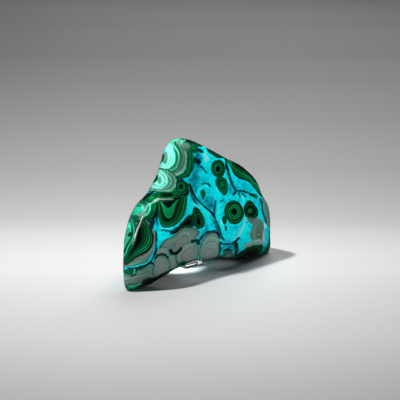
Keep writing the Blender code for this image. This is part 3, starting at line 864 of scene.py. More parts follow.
def markings(points, normals):
    """The stone's markings at each vertex, as named values that the material reads.

    For each coat, growth_N is 0 at the nearest nodule's heart and 1 at its rim, size_N is its size
    in mm and kind_N its place in KINDS. outside: mm past the nearest rim. seam: mm to the next hidden
    nodule. vein, mint, pale, frost, glint: mm past the edge of the nearest such line; the pale and glint
    lines are painted sheen and highlights, and some of the others are painted highlights too. tone: how
    pale the chrysocolla is. hidden: 1 where the drawing has given way.
    """
    waver = sum(
        height * np.stack([ripple(points, wavelength, seed) for seed in seeds], -1)
        for wavelength, height, seeds in WAVERS
    )
    drawn = onto_sheet(points) + waver
    facing = normals @ sheet_axes()[2]
    hidden = given_way(points, facing)

    growth, size, kind, seam = hidden_growth(points, facing)
    growth = growth + GIVE_WAY * smooth_step(1 - hidden, OVERLAP, 1)
    outside = (growth - 1) * size
    values = {"seam": np.minimum(seam, FAR), "hidden": hidden}
    for coat in range(COATS):
        if coat:
            growth, size, kind = np.full(len(points), FAR), np.ones(len(points)), np.zeros(len(points), int)
        for nodule in NODULES:
            if nodule.coat == coat:
                own, own_size = drawn_growth(nodule, drawn)
                own = own + GIVE_WAY * smooth_step(hidden, OVERLAP, 1)
                outside = np.minimum(outside, (own - 1) * own_size)
                nearer = own < growth
                growth = np.where(nearer, own, growth)
                size = np.where(nearer, own_size, size)
                kind = np.where(nearer, KINDS.index(nodule.kind), kind)
        values[f"growth_{coat}"] = np.minimum(growth, FAR)
        values[f"size_{coat}"] = size
        values[f"kind_{coat}"] = kind
    values["outside"] = np.clip(outside, -FAR, FAR)

    values["vein"] = vein_distance(drawn, hidden)
    for name, lines in LINES.items():
        values[name] = distance_to_lines(drawn, lines, hidden)

    tone = HIDDEN_TONE * hidden * ripple(points, TONE_LENGTH, TONE_SEED)
    for line, reach, amount in TONES:
        tone = tone + amount * (1 - hidden) * np.exp(-((distance_to_line(drawn, line) / reach) ** 2))
    values["tone"] = tone
    return values


def mesh_object(name, places, faces, material):
    """A smooth-shaded object at the origin from vertex places in metres and quads."""
    mesh = bpy.data.meshes.new(name)
    mesh.vertices.add(len(places))
    mesh.vertices.foreach_set("co", places.astype(np.float32).ravel())
    mesh.loops.add(faces.size)
    mesh.loops.foreach_set("vertex_index", faces.astype(np.int32).ravel())
    mesh.polygons.add(len(faces))
    mesh.polygons.foreach_set("loop_start", np.arange(0, faces.size, faces.shape[1], dtype=np.int32))
    mesh.update(calc_edges=True)
    mesh.validate()
    mesh.shade_smooth()
    mesh.materials.append(material)
    piece = bpy.data.objects.new(name, mesh)
    bpy.context.collection.objects.link(piece)
    return piece


# ---------------------------------------------------------------------------------------------
# Materials
# ---------------------------------------------------------------------------------------------


FULL = 255  # a part of a screen colour at its brightest


def linear(red, green, blue):
    """A screen colour, from 0 to FULL, as the light it stands for by the usual screen curve."""
    screen = np.array([red, green, blue]) / FULL
    light = np.where(screen <= 0.04045, screen / 12.92, ((screen + 0.055) / 1.055) ** 2.4)
    return (*light.tolist(), 1.0)


BLACK = (3, 12, 8)
DEEP = (0, 42, 23)
DARK = (0, 78, 42)
MID = (0, 118, 66)
LEAF = (0, 150, 88)
BRIGHT = (25, 200, 140)
MINT = (75, 236, 196)
PALE = (138, 255, 226)
GREY = (104, 148, 132)
STONE_GREY = (68, 122, 104)
# A grey that is partly the lobes' own colour and partly a painted reflection of the table.
REFLECTED_GREY = (130, 141, 140)

# The grey lobes' colours on their way from heart to rim, partly a painted reflection of the table, and how
# much lighter the hem's are: painted light on the lower lobes that face the table.
LOBE_COLOURS = (
    (0.0, REFLECTED_GREY), (0.33, REFLECTED_GREY), (0.36, (110, 132, 126)), (0.385, (112, 196, 168)), (0.42, (104, 128, 120)),
    (0.50, REFLECTED_GREY), (0.56, (112, 128, 123)), (0.59, (108, 208, 176)), (0.63, (98, 126, 116)), (0.70, REFLECTED_GREY),
    (0.77, (108, 126, 120)), (0.80, (104, 194, 164)), (0.84, (92, 124, 113)), (0.90, (104, 132, 122)),
    (0.95, (60, 96, 86)), (1.0, (14, 46, 38)),
)
HEM_PAINTED_LIGHT = 1.14


def lighter(stops, factor):
    """The same stops, with each part of their colours times a factor, up to full."""
    return tuple(
        (place, tuple(min(FULL, round(part * factor)) for part in colour)) for place, colour in stops
    )


# Each kind of nodule's colours on its way from heart to rim.
PROFILES = {
    # The tower's pale mint and grey bands stand partly for a painted reflection of the soft light on the
    # left.
    "upper": (
        (0.0, (132, 180, 158)), (0.12, (120, 170, 146)), (0.165, (40, 170, 120)), (0.20, MINT),
        (0.24, PALE), (0.455, PALE), (0.49, MINT), (0.51, (12, 164, 112)), (0.54, (10, 130, 86)),
        (0.57, STONE_GREY), (0.59, (20, 140, 96)), (0.615, (116, 226, 196)), (0.64, (50, 170, 132)),
        (0.665, MID), (0.69, (80, 140, 120)), (0.72, (128, 172, 156)), (0.74, (70, 130, 110)),
        (0.775, (124, 172, 154)), (0.80, (110, 206, 176)), (0.825, (14, 160, 106)), (0.85, LEAF),
        (0.868, DEEP), (0.884, DEEP), (0.898, (22, 178, 120)), (0.915, LEAF), (0.93, DEEP), (0.948, DEEP),
        (0.96, LEAF), (0.975, MID), (0.988, DEEP), (1.0, BLACK),
    ),
    "lower": (
        (0.0, (120, 170, 146)), (0.10, (112, 170, 146)), (0.15, MINT), (0.20, PALE), (0.46, PALE),
        (0.49, MINT), (0.515, (10, 150, 100)), (0.54, STONE_GREY), (0.58, (126, 172, 154)),
        (0.61, (60, 190, 150)), (0.64, (84, 136, 118)), (0.69, (30, 110, 80)), (0.73, (126, 166, 150)),
        (0.775, (90, 140, 122)), (0.81, (118, 214, 184)), (0.85, (50, 160, 122)), (0.89, MID), (0.93, DARK),
        (0.97, MID), (1.0, DEEP),
    ),
    "cap": ((0.0, GREY), (0.55, GREY), (0.80, STONE_GREY), (0.92, (60, 128, 100)), (1.0, MID)),
    "nest": (
        (0.0, BLACK), (0.30, BLACK), (0.34, DEEP), (0.38, BLACK), (0.46, DEEP), (0.50, BLACK), (0.58, DARK),
        (0.62, BLACK), (0.68, DEEP), (0.72, MID), (0.76, DARK), (0.80, BLACK), (0.86, DARK), (0.90, MID),
        (0.94, DEEP), (1.0, BLACK),
    ),
    "fork": (
        (0.0, LEAF), (0.10, MID), (0.17, LEAF), (0.20, MID), (0.215, BLACK), (0.26, BLACK), (0.28, DARK),
        (0.30, BLACK), (0.36, BLACK), (0.38, DARK), (0.40, BLACK), (0.45, BLACK), (0.47, MID),
        (0.49, BLACK), (0.53, BLACK), (0.555, LEAF), (0.58, MID), (0.61, BLACK), (0.655, BLACK),
        (0.675, MID), (0.70, MID), (0.73, BLACK), (0.765, BLACK), (0.79, (10, 172, 104)), (0.82, LEAF),
        (0.845, BLACK), (0.895, BLACK), (0.92, LEAF), (0.95, MID), (0.975, BLACK), (1.0, BLACK),
    ),
    "eye": (
        (0.0, BLACK), (0.28, BLACK), (0.33, DARK), (0.40, LEAF), (0.47, DARK), (0.54, LEAF), (0.62, MID),
        (0.66, BLACK), (0.71, BLACK), (0.75, MID), (0.80, MID), (0.83, BLACK), (0.87, DEEP), (0.92, DARK),
        (0.96, MID), (1.0, (0, 84, 74)),
    ),
    "dusk": (
        (0.0, BLACK), (0.33, BLACK), (0.37, MID), (0.41, BLACK), (0.50, DEEP), (0.58, BLACK), (0.61, LEAF),
        (0.66, MID), (0.70, BLACK), (0.75, DEEP), (0.79, MID), (0.83, BLACK), (0.88, DARK), (0.92, DEEP),
        (0.95, DARK), (1.0, BLACK),
    ),
    "bud": (
        (0.0, LEAF), (0.24, MID), (0.33, MID), (0.37, BLACK), (0.45, DEEP), (0.52, DEEP), (0.58, BLACK),
        (0.64, DEEP), (0.70, DARK), (0.78, DARK), (0.84, DEEP), (0.92, DARK), (1.0, (0, 84, 74)),
    ),
    "lobe": LOBE_COLOURS,
    "hem": lighter(LOBE_COLOURS, HEM_PAINTED_LIGHT),
    # Past 0.78 the grey hem is partly a painted reflection of the table.
    "leg": (
        (0.0, (2, 12, 7)), (0.14, BLACK), (0.18, DARK), (0.21, DEEP), (0.23, BLACK), (0.27, BLACK),
        (0.295, MID), (0.32, DARK), (0.35, BLACK), (0.39, BLACK), (0.42, MID), (0.44, MID), (0.47, BLACK),
        (0.51, BLACK), (0.535, LEAF), (0.56, MID), (0.59, BLACK), (0.625, BLACK), (0.65, LEAF),
        (0.675, MID), (0.70, BLACK), (0.755, BLACK), (0.78, (72, 84, 78)), (0.84, REFLECTED_GREY),
        (0.875, STONE_GREY), (0.90, (110, 190, 155)), (0.93, (84, 140, 120)), (0.97, STONE_GREY),
        (1.0, (12, 96, 92)),
    ),
    "shoulder": (
        (0.0, (30, 212, 162)), (0.42, (26, 206, 156)), (0.50, (14, 140, 112)), (0.56, (44, 132, 120)),
        (0.61, (40, 124, 112)), (0.64, (10, 96, 74)), (0.67, MID), (0.69, LEAF), (0.72, MID), (0.75, DARK),
        (0.785, MID), (0.82, DEEP), (0.85, DARK), (0.88, MID), (0.92, DEEP), (1.0, BLACK),
    ),
    "flank": (
        (0.0, BRIGHT), (0.20, MINT), (0.33, BRIGHT), (0.38, MID), (0.44, DARK), (0.52, DEEP), (0.57, MID),
        (0.62, DEEP), (0.68, BRIGHT), (0.74, BRIGHT), (0.80, MID), (0.86, (20, 96, 84)),
        (0.94, (24, 96, 86)), (1.0, DEEP),
    ),
    # Near 0.30 a painted highlight along the bottom rim; the greys past 0.42 are partly a painted
    # reflection of the table.
    "foot": (
        (0.0, DARK), (0.22, LEAF), (0.30, BRIGHT), (0.36, LEAF), (0.42, (86, 138, 118)),
        (0.50, (122, 142, 136)), (0.53, (112, 176, 152)), (0.56, (122, 142, 136)), (0.62, (118, 140, 132)),
        (0.65, (112, 176, 152)), (0.68, (122, 142, 136)), (0.76, (110, 154, 138)), (0.79, (108, 184, 160)),
        (0.82, (104, 146, 130)), (0.90, (78, 150, 132)), (0.95, (24, 80, 66)), (1.0, BLACK),
    ),
    "moss": (
        (0.0, LEAF), (0.28, MID), (0.38, (0, 84, 44)), (0.50, (0, 66, 36)), (0.64, MID),
        (0.85, (0, 96, 66)), (1.0, (0, 84, 74)),
    ),
    "crescent": (
        (0.0, DEEP), (0.38, BLACK), (0.43, DEEP), (0.50, DARK), (0.54, DEEP), (0.58, MID),
        (0.61, (10, 178, 104)), (0.67, LEAF), (0.695, BLACK), (0.73, BLACK), (0.76, (6, 166, 98)),
        (0.81, MID), (0.88, DARK), (0.92, DEEP), (0.96, BLACK), (1.0, (2, 24, 20)),
    ),
    # A painted reflection of the table over faint green bands.
    "dim": (
        (0.0, (84, 120, 108)), (0.30, (92, 126, 114)), (0.38, (120, 142, 134)), (0.45, (92, 128, 114)),
        (0.55, (62, 140, 114)), (0.62, (104, 160, 138)), (0.70, (76, 130, 112)), (0.80, (120, 140, 133)),
        (1.0, (66, 120, 108)),
    ),
}
KINDS = tuple(PROFILES)

# The chrysocolla's colours from deep to pale.
CHRYSOCOLLA = (
    (0.00, (0, 20, 34)), (0.14, (0, 60, 78)), (0.28, (0, 112, 132)), (0.40, (0, 164, 184)),
    (0.52, (0, 206, 222)), (0.64, (0, 238, 250)), (0.82, (0, 252, 255)), (1.0, (140, 255, 255)),
)


def new_group(name, inputs, outputs):
    """An empty shader node group with named sockets; returns it with its input and output nodes."""
    group = bpy.data.node_groups.new(name, "ShaderNodeTree")
    for label, kind, default in inputs:
        socket = group.interface.new_socket(label, in_out="INPUT", socket_type=f"NodeSocket{kind}")
        if default is not None:
            socket.default_value = default
    for label, kind in outputs:
        group.interface.new_socket(label, in_out="OUTPUT", socket_type=f"NodeSocket{kind}")
    return group, group.nodes.new("NodeGroupInput"), group.nodes.new("NodeGroupOutput")


def put(tree, source, target):
    """Join a socket to a target socket, or set the target to a plain value."""
    if isinstance(source, bpy.types.NodeSocket):
        tree.links.new(source, target)
    else:
        target.default_value = source


def maths(tree, operation, *values):
    """A Math node on sockets or numbers; returns its result."""
    node = tree.nodes.new("ShaderNodeMath")
    node.operation = operation
    for value, socket in zip(values, node.inputs):
        put(tree, value, socket)
    return node.outputs[0]


def stretch(tree, value, low, high, to_low=0.0, to_high=1.0, smooth=False):
    """A Map Range node from low..high to to_low..to_high, clamped."""
    node = tree.nodes.new("ShaderNodeMapRange")
    node.interpolation_type = "SMOOTHSTEP" if smooth else "LINEAR"
    for given, socket in zip((value, low, high, to_low, to_high), node.inputs):
        put(tree, given, socket)
    return node.outputs["Result"]


def blend(tree, share, under, over, mode="MIX"):
    """A colour Mix node; returns its colour."""
    node = tree.nodes.new("ShaderNodeMix")
    node.data_type = "RGBA"
    node.blend_type = mode
    colours = [socket for socket in node.inputs if socket.type == "RGBA"]
    put(tree, share, node.inputs["Factor"])
    put(tree, under, colours[0])
    put(tree, over, colours[1])
    return next(socket for socket in node.outputs if socket.type == "RGBA")


def ramp(tree, value, stops):
    """A Color Ramp through (place, colour) stops, whose places run from 0 to 1."""
    node = tree.nodes.new("ShaderNodeValToRGB")
    put(tree, value, node.inputs[0])
    elements = node.color_ramp.elements
    while len(elements) < len(stops):
        elements.new(1.0)
    for element, (place, colour) in zip(elements, stops):
        element.position = place
        element.color = colour
    return node.outputs["Color"]


def screen_ramp(tree, value, stops):
    """A Color Ramp through (place, screen colour) stops."""
    return ramp(tree, value, [(place, linear(*colour)) for place, colour in stops])


def grey_ramp(tree, value, stops):
    """A Color Ramp of greys through (value, grey) stops at any scale."""
    low, high = stops[0][0], stops[-1][0]
    shares = [((where - low) / (high - low), (grey, grey, grey, 1)) for where, grey in stops]
    return ramp(tree, stretch(tree, value, low, high), shares)


def attribute(tree, name):
    """A value kept on the mesh."""
    node = tree.nodes.new("ShaderNodeAttribute")
    node.attribute_name = name
    return node.outputs["Fac"]


def noise(tree, place, scale, detail, along=None):
    """A Noise texture's value; its scale is in cells to a metre, and along is a fourth direction."""
    node = tree.nodes.new("ShaderNodeTexNoise")
    node.inputs["Detail"].default_value = detail
    node.inputs["Scale"].default_value = scale
    put(tree, place, node.inputs["Vector"])
    if along is not None:
        node.noise_dimensions = "4D"
        put(tree, along, node.inputs["W"])
    return node.outputs["Fac"]


def noisy(tree, place, look, to_low, to_high):
    """Noise that runs from one value to another; its look is a scale, a detail and half its spread."""
    scale, detail, spread = look
    return stretch(tree, noise(tree, place, scale, detail), 0.5 - spread, 0.5 + spread, to_low, to_high)


def object_place(tree):
    """The point on the piece in its own metres."""
    return tree.nodes.new("ShaderNodeTexCoord").outputs["Object"]


def scaled(tree, vector, factor):
    """A vector times a number."""
    node = tree.nodes.new("ShaderNodeVectorMath")
    node.operation = "SCALE"
    put(tree, vector, node.inputs[0])
    put(tree, factor, node.inputs["Scale"])
    return node.outputs[0]


# The fine growth layers: their cells to a metre along the layers, and their detail.
LAYER_SCALE = 55.0
LAYER_DETAIL = 2.5
# How softly a rim ends, in mm to either side.
RIM_SOFTNESS = 0.12


def fine_layers_group():
    """Fine growth layers: noise that changes fast across the layers and slowly along them."""
    inputs = (("Place", "Vector", None), ("Layer", "Float", 0.0), ("Spacing", "Float", 1.0))
    group, given, out = new_group("Fine growth layers", inputs, (("Value", "Float"),))
    slow = scaled(group, given.outputs["Place"], LAYER_SCALE)
    across = maths(group, "DIVIDE", given.outputs["Layer"], given.outputs["Spacing"])
    value = noise(group, slow, 1.0, LAYER_DETAIL, along=across)
    put(group, value, out.inputs["Value"])
    return group


def coat_group():
    """One coat of nodules over what lies under it: each kind's profile from heart to rim.

    Cover is 1 inside the rims. Layer is the distance from the heart in mm.
    """
    inputs = (
        ("Under", "Color", linear(*BLACK)), ("Under Layer", "Float", 0.0), ("Under Cover", "Float", 0.0),
        ("Growth", "Float", 1.0), ("Size", "Float", 1.0), ("Kind", "Float", 0.0), ("Sway", "Float", 0.0),
    )
    outputs = (("Color", "Color"), ("Layer", "Float"), ("Cover", "Float"))
    group, given, out = new_group("Nodule coat", inputs, outputs)
    size = given.outputs["Size"]
    swayed = maths(group, "DIVIDE", given.outputs["Sway"], size)
    growth = maths(group, "ADD", given.outputs["Growth"], swayed)
    colour = linear(*MID)
    for index, name in enumerate(KINDS):
        chosen = maths(group, "COMPARE", given.outputs["Kind"], float(index), 0.5)
        colour = blend(group, chosen, colour, screen_ramp(group, growth, PROFILES[name]))
    past = maths(group, "MULTIPLY", maths(group, "SUBTRACT", growth, 1.0), size)
    inside = stretch(group, past, -RIM_SOFTNESS, RIM_SOFTNESS, 1.0, 0.0)
    put(group, blend(group, inside, given.outputs["Under"], colour), out.inputs["Color"])
    layer = maths(group, "MULTIPLY", growth, size)
    step = maths(group, "MULTIPLY", inside, maths(group, "SUBTRACT", layer, given.outputs["Under Layer"]))
    put(group, maths(group, "ADD", given.outputs["Under Layer"], step), out.inputs["Layer"])
    put(group, maths(group, "MAXIMUM", inside, given.outputs["Under Cover"]), out.inputs["Cover"])
    return group


# Chrysocolla's clouds, mottling and grain: each noise's look, and how far it swings the tone.
CLOUDS = (((130.0, 3.0, 0.2), 0.10), ((430.0, 3.0, 0.14), 0.08), ((1300.0, 2.0, 0.2), 0.05))
MIDDLE_TONE = 0.53
DRAWN_TONE = 0.30  # what a tone of 1 on the mesh adds
HALO = (0.2, 1.5, 0.10)  # next to a rim it is paler: from and to so many mm past it, and by how much
# Its dark specks: cells to a metre and colour. They lie in patches of a noise, at the cells' hearts.
SPECKS = ((620.0, (0, 60, 78)), (380.0, (0, 34, 46)))
SPECK_PATCHES = (90.0, 2.0)
SPECK_PATCH_EDGE = (0.50, 0.64)
SPECK_RADIUS = (0.12, 0.24)
SPECK_SHARE = 0.8


def chrysocolla_group():
    """Chrysocolla: clouded blue-green from deep to pale, with patches of dark specks."""
    inputs = (("Place", "Vector", None), ("Tone", "Float", 0.0), ("Outside", "Float", 1.0))
    group, given, out = new_group("Chrysocolla clouds", inputs, (("Color", "Color"),))
    place = given.outputs["Place"]
    tone = maths(group, "MULTIPLY_ADD", given.outputs["Tone"], DRAWN_TONE, MIDDLE_TONE)
    for look, swing in CLOUDS:
        tone = maths(group, "ADD", tone, noisy(group, place, look, -swing, swing))
    start, end, paler = HALO
    halo = stretch(group, given.outputs["Outside"], start, end, paler, 0.0, smooth=True)
    tone = maths(group, "ADD", tone, halo)
    colour = screen_ramp(group, tone, CHRYSOCOLLA)
    patch = stretch(group, noise(group, place, *SPECK_PATCHES), *SPECK_PATCH_EDGE)
    for scale, speck_colour in SPECKS:
        specks = group.nodes.new("ShaderNodeTexVoronoi")
        specks.inputs["Scale"].default_value = scale
        put(group, place, specks.inputs["Vector"])
        near = stretch(group, specks.outputs["Distance"], *SPECK_RADIUS, 1.0, 0.0)
        dark = maths(group, "MULTIPLY", near, maths(group, "MULTIPLY", patch, SPECK_SHARE))
        colour = blend(group, dark, colour, linear(*speck_colour))
    put(group, colour, out.inputs["Color"])
    return group


def principled(name):
    """A new material; returns it with its tree and its Principled BSDF."""
    material = bpy.data.materials.new(name)
    material.use_nodes = True
    tree = material.node_tree
    return material, tree, tree.nodes["Principled BSDF"]


def joined(tree, group, **values):
    """A node of a group with its inputs joined or set; the names have _ for spaces."""
    node = tree.nodes.new("ShaderNodeGroup")
    node.node_tree = group
    for name, value in values.items():
        put(tree, value, node.inputs[name.replace("_", " ")])
    return node.outputs


# How the edges waver: the look of each noise, how far it carries an edge in mm, and the share of the
# ragged one that reaches a nodule's layers.
RAGGED = (420.0, 3.0, 0.25)
RAGGED_BY = 0.22
SWAY = (160.0, 2.0, 0.25)
SWAY_BY = 0.18
RAGGED_SHARE = 0.4
SEAM_EDGE = (0.05, 0.5)  # the dark seam between dealt-out nodules fades over these mm


def nodule_bands(tree, place, under, ragged):
    """Every coat's bands over a colour, with the dark seams; returns colour, layer in mm and cover."""
    sway = noisy(tree, place, SWAY, -SWAY_BY, SWAY_BY)
    sway = maths(tree, "ADD", sway, maths(tree, "MULTIPLY", ragged, RAGGED_SHARE))
    coat = coat_group()
    bands, layer, cover = under, 0.0, 0.0
    for index in range(COATS):
        bands, layer, cover = joined(
            tree, coat, Under=bands, Under_Layer=layer, Under_Cover=cover, Sway=sway,
            Growth=attribute(tree, f"growth_{index}"), Size=attribute(tree, f"size_{index}"),
            Kind=attribute(tree, f"kind_{index}"),
        )
    seam = stretch(tree, attribute(tree, "seam"), *SEAM_EDGE, 1.0, 0.0)
    seam = maths(tree, "MULTIPLY", seam, maths(tree, "MULTIPLY", attribute(tree, "hidden"), cover))
    return blend(tree, seam, bands, linear(*BLACK)), layer, cover


# The fine layers: their spacing in mm and their depth. Grey bands hold less of them than green ones.
FINE_LAYERS = ((0.9, 0.44), (0.4, 0.30))
LAYER_EDGE = (0.36, 0.64)
LIGHTER = 0.7  # a light layer's height over a dark one's depth
GREY_AND_GREEN = (0.15, 0.55)  # how saturated they are
GREY_SHARE = 0.25


def fine_layered(tree, place, bands, layer, tint):
    """The bands with their fine layers and a tint laid over them."""
    fine_layers = fine_layers_group()
    shade = 1.0
    for spacing, depth in FINE_LAYERS:
        layers = joined(tree, fine_layers, Place=place, Layer=layer, Spacing=spacing)
        streaks = stretch(tree, layers["Value"], *LAYER_EDGE, 1 - depth, 1 + depth * LIGHTER)
        shade = maths(tree, "MULTIPLY", shade, streaks)
    parts = tree.nodes.new("ShaderNodeSeparateColor")
    parts.mode = "HSV"
    put(tree, bands, parts.inputs["Color"])
    saturation = parts.outputs["Green"]
    strength = stretch(tree, saturation, *GREY_AND_GREEN, GREY_SHARE, 1.0)
    shade = maths(tree, "MULTIPLY_ADD", maths(tree, "SUBTRACT", shade, 1.0), strength, 1.0)
    return blend(tree, 1.0, bands, scaled(tree, tint, shade), mode="MULTIPLY")


# The drawn lines in the order they are laid: their name, the softness of their edge in mm and colour. The
# pale and glint colours paint sheen and highlights, and the mint and frost ones paint some highlights too.
LINE_LOOKS = (
    ("pale", 0.5, (142, 174, 160)), ("mint", 0.25, (70, 232, 186)), ("frost", 0.35, (90, 240, 244)),
    ("vein", 0.30, (2, 14, 18)), ("glint", 0.30, (226, 240, 234)),
)
LINE_SHARE = 0.96


def lined(tree, colour, ragged):
    """A colour with the drawn lines over it."""
    for name, softness, over in LINE_LOOKS:
        past = maths(tree, "ADD", attribute(tree, name), ragged)
        drawn = stretch(tree, past, -softness, softness, LINE_SHARE, 0.0)
        colour = blend(tree, drawn, colour, linear(*over))
    return colour


# The polish: the noise of its slight waves and of its wear, the bump in metres, and how it mirrors.
WAVES = (45.0, 1.0)
WEAR = (70.0, 3.0, 0.2)
BUMP_STRENGTH = 0.15
BUMP_HEIGHT = 0.0006
STONE_IOR = 1.72
STONE_SPECULAR = 0.4


def polished_stone(settings):
    """Polished malachite and chrysocolla, read from the markings on the mesh."""
    material, tree, shader = principled("polished_stone")
    place = object_place(tree)
    clouds = joined(
        tree, chrysocolla_group(), Place=place, Tone=attribute(tree, "tone"),
        Outside=attribute(tree, "outside"),
    )
    tint = (*settings.chrysocolla_tint, 1.0)
    chrysocolla = blend(tree, 1.0, clouds["Color"], tint, mode="MULTIPLY")
    ragged = noisy(tree, place, RAGGED, -RAGGED_BY, RAGGED_BY)
    bands, layer, cover = nodule_bands(tree, place, chrysocolla, ragged)
    malachite = fine_layered(tree, place, bands, layer, (*settings.malachite_tint,))
    colour = lined(tree, blend(tree, cover, chrysocolla, malachite), ragged)
    put(tree, colour, shader.inputs["Base Color"])

    bump = tree.nodes.new("ShaderNodeBump")
    bump.inputs["Strength"].default_value = BUMP_STRENGTH
    bump.inputs["Distance"].default_value = BUMP_HEIGHT
    put(tree, noise(tree, place, *WAVES), bump.inputs["Height"])
    put(tree, bump.outputs["Normal"], shader.inputs["Normal"])
    worn = settings.worn_roughness
    put(tree, noisy(tree, place, WEAR, worn / 2, worn), shader.inputs["Roughness"])
    shader.inputs["IOR"].default_value = STONE_IOR
    shader.inputs["Specular IOR Level"].default_value = STONE_SPECULAR
    return material


# Clear acrylic: the noise of its rubbing, its roughness between these, its tint and its IOR.
RUBBING = (900.0, 3.0, 0.2)
RUBBED = (0.01, 0.06)
ACRYLIC_TINT = (0.98, 1.0, 1.0, 1.0)
ACRYLIC_IOR = 1.49


def clear_acrylic():
    """Clear cast acrylic with a faintly rubbed surface."""
    material, tree, shader = principled("clear_acrylic")
    put(tree, noisy(tree, object_place(tree), RUBBING, *RUBBED), shader.inputs["Roughness"])
    shader.inputs["Base Color"].default_value = ACRYLIC_TINT
    shader.inputs["Metallic"].default_value = 0.0
    shader.inputs["Transmission Weight"].default_value = 1.0
    shader.inputs["IOR"].default_value = ACRYLIC_IOR
    return material


# The table's painted pool of light: how light it is towards the back of the room, in metres past the stone,
# and to the sides, as metres aside for each metre from the front of the room.
TABLE_LIGHT_POOL_BACK = (
    (-0.45, 0.18), (-0.30, 0.29), (-0.19, 0.42), (-0.12, 0.56), (-0.05, 0.65), (0.00, 0.73), (0.03, 0.72),
    (0.07, 0.64), (0.11, 0.51), (0.17, 0.44), (0.25, 0.37), (0.45, 0.30), (0.65, 0.27), (0.85, 0.27),
    (1.10, 0.36), (1.36, 0.56), (2.5, 0.60),
)
TABLE_LIGHT_POOL_ASIDE = ((0.00, 1.0), (0.08, 0.99), (0.16, 0.92), (0.25, 0.68), (0.40, 0.36), (0.70, 0.16))
TABLE_HALF = 4.0
TABLE_NEAREST = 0.2  # nearer the front of the room than this, the sides come no closer together
TABLE_ROUGHNESS = 0.6
TABLE_SPECULAR = 0.2


def pale_table():
    """A plain pale table with a painted pool of light, lightest under the stone, that falls off into grey
    all round.
    """
    material, tree, shader = principled("pale_table")
    turned = tree.nodes.new("ShaderNodeMapping")
    turned.inputs["Rotation"].default_value = (0, 0, -SHEET_AZIMUTH)
    put(tree, object_place(tree), turned.inputs["Vector"])
    parts = tree.nodes.new("ShaderNodeSeparateXYZ")
    put(tree, turned.outputs[0], parts.inputs[0])
    reach = maths(tree, "ADD", parts.outputs["Y"], SHEET_DISTANCE * MM)
    reach = maths(tree, "MAXIMUM", reach, TABLE_NEAREST)
    aside = maths(tree, "DIVIDE", maths(tree, "ABSOLUTE", parts.outputs["X"]), reach)
    # The painted pool of light and its falloff.
    back = grey_ramp(tree, parts.outputs["Y"], TABLE_LIGHT_POOL_BACK)
    colour = blend(tree, 1.0, back, grey_ramp(tree, aside, TABLE_LIGHT_POOL_ASIDE), mode="MULTIPLY")
    put(tree, colour, shader.inputs["Base Color"])
    shader.inputs["Roughness"].default_value = TABLE_ROUGHNESS
    shader.inputs["Specular IOR Level"].default_value = TABLE_SPECULAR
    return material


# ---------------------------------------------------------------------------------------------
# Settings, operators and panel
# ---------------------------------------------------------------------------------------------


class FREEFORM_PG_stone(bpy.types.PropertyGroup):
    """What a user would change on the stone."""

    grid_share: bpy.props.FloatProperty(
        name="Grid share", description="Share of the full surface grid to build", default=1.0,
        min=0.1, max=1.0,
    )
    malachite_tint: bpy.props.FloatVectorProperty(
        name="Malachite tint", description="Colour laid over the green bands", default=(1.0, 1.0, 1.0),
        subtype="COLOR",
    )
    chrysocolla_tint: bpy.props.FloatVectorProperty(
        name="Chrysocolla tint", description="Colour laid over the blue-green", default=(1.0, 1.0, 1.0),
        subtype="COLOR",
    )
    worn_roughness: bpy.props.FloatProperty(
        name="Roughness", description="Roughness of the polish where it is most worn", default=0.10,
    )


def power(name, description, default):
    """A light's power, as a setting."""
    return bpy.props.FloatProperty(name=name, description=description, default=default, unit="POWER")


class FREEFORM_PG_stage(bpy.types.PropertyGroup):
    """The studio's lights and camera."""

    key_power: power("Key", "Light from behind on the left, which casts the shadow", 10.0)
    low_power: power("Low", "Light through the clear prop", 28.0)
    sky_power: power("Sky", "Soft light on the table alone", 9.0)
    fill_power: power("Fill", "Large soft light on the stone from the front", 14.5)
    left_power: power("Left", "Softbox on the left", 1.0)
    strip_power: power("Strip", "Narrow light that gleams on the stone's left side", 0.22)
    world_light: bpy.props.FloatProperty(name="Room", description="Light of the dark room", default=0.02)
    lens: bpy.props.FloatProperty(
        name="Lens", description="Focal length on a 36 mm sensor", default=114.3, unit="CAMERA",
    )


class FREEFORM_OT_stone(bpy.types.Operator):
    """Build the banded stone's fine surface"""

    bl_idname = "freeform.stone"
    bl_label = "Stone"

    def execute(self, context):
        settings = context.scene.freeform_stone
        steps = [max(4, round(count * settings.grid_share)) for count in GRID_STEPS]
        corners, faces = cube_grid(steps)
        surface = onto_stone(corners)
        values = markings(surface, outward(surface))
        places = (surface - np.array([*PLAN_MIDDLE, 0])) * MM
        piece = mesh_object("banded_stone", places, faces, polished_stone(settings))
        for name, value in values.items():
            layer = piece.data.attributes.new(name, "FLOAT", "POINT")
            layer.data.foreach_set("value", value.astype(np.float32))
        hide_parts("stone")
        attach(piece, "root")
        return {"FINISHED"}


class FREEFORM_OT_prop(bpy.types.Operator):
    """Give the clear prop its acrylic"""

    bl_idname = "freeform.prop"
    bl_label = "Clear prop"

    def execute(self, context):
        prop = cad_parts["clear_prop"]
        prop.data.materials.clear()
        prop.data.materials.append(clear_acrylic())
        return {"FINISHED"}


# The soft lights: what each one lights, if it gleams on what it lights, and its azimuth and elevation
# in degrees, distance in metres, and width and height in metres.
SOFTBOXES = (
    ("key", "all", False, (-112, 64, 1.0, (0.06, 0.06))),
    ("sky", "table", False, (122, 50, 1.2, (0.9, 0.9))),
    ("fill", "pieces", False, (-8, 60, 1.1, (1.5, 1.1))),
    ("left", "pieces", False, (-128, 22, 0.8, (0.35, 0.5))),
    ("strip", "pieces", True, (-55, 6.5, 0.9, (0.025, 0.16))),
)
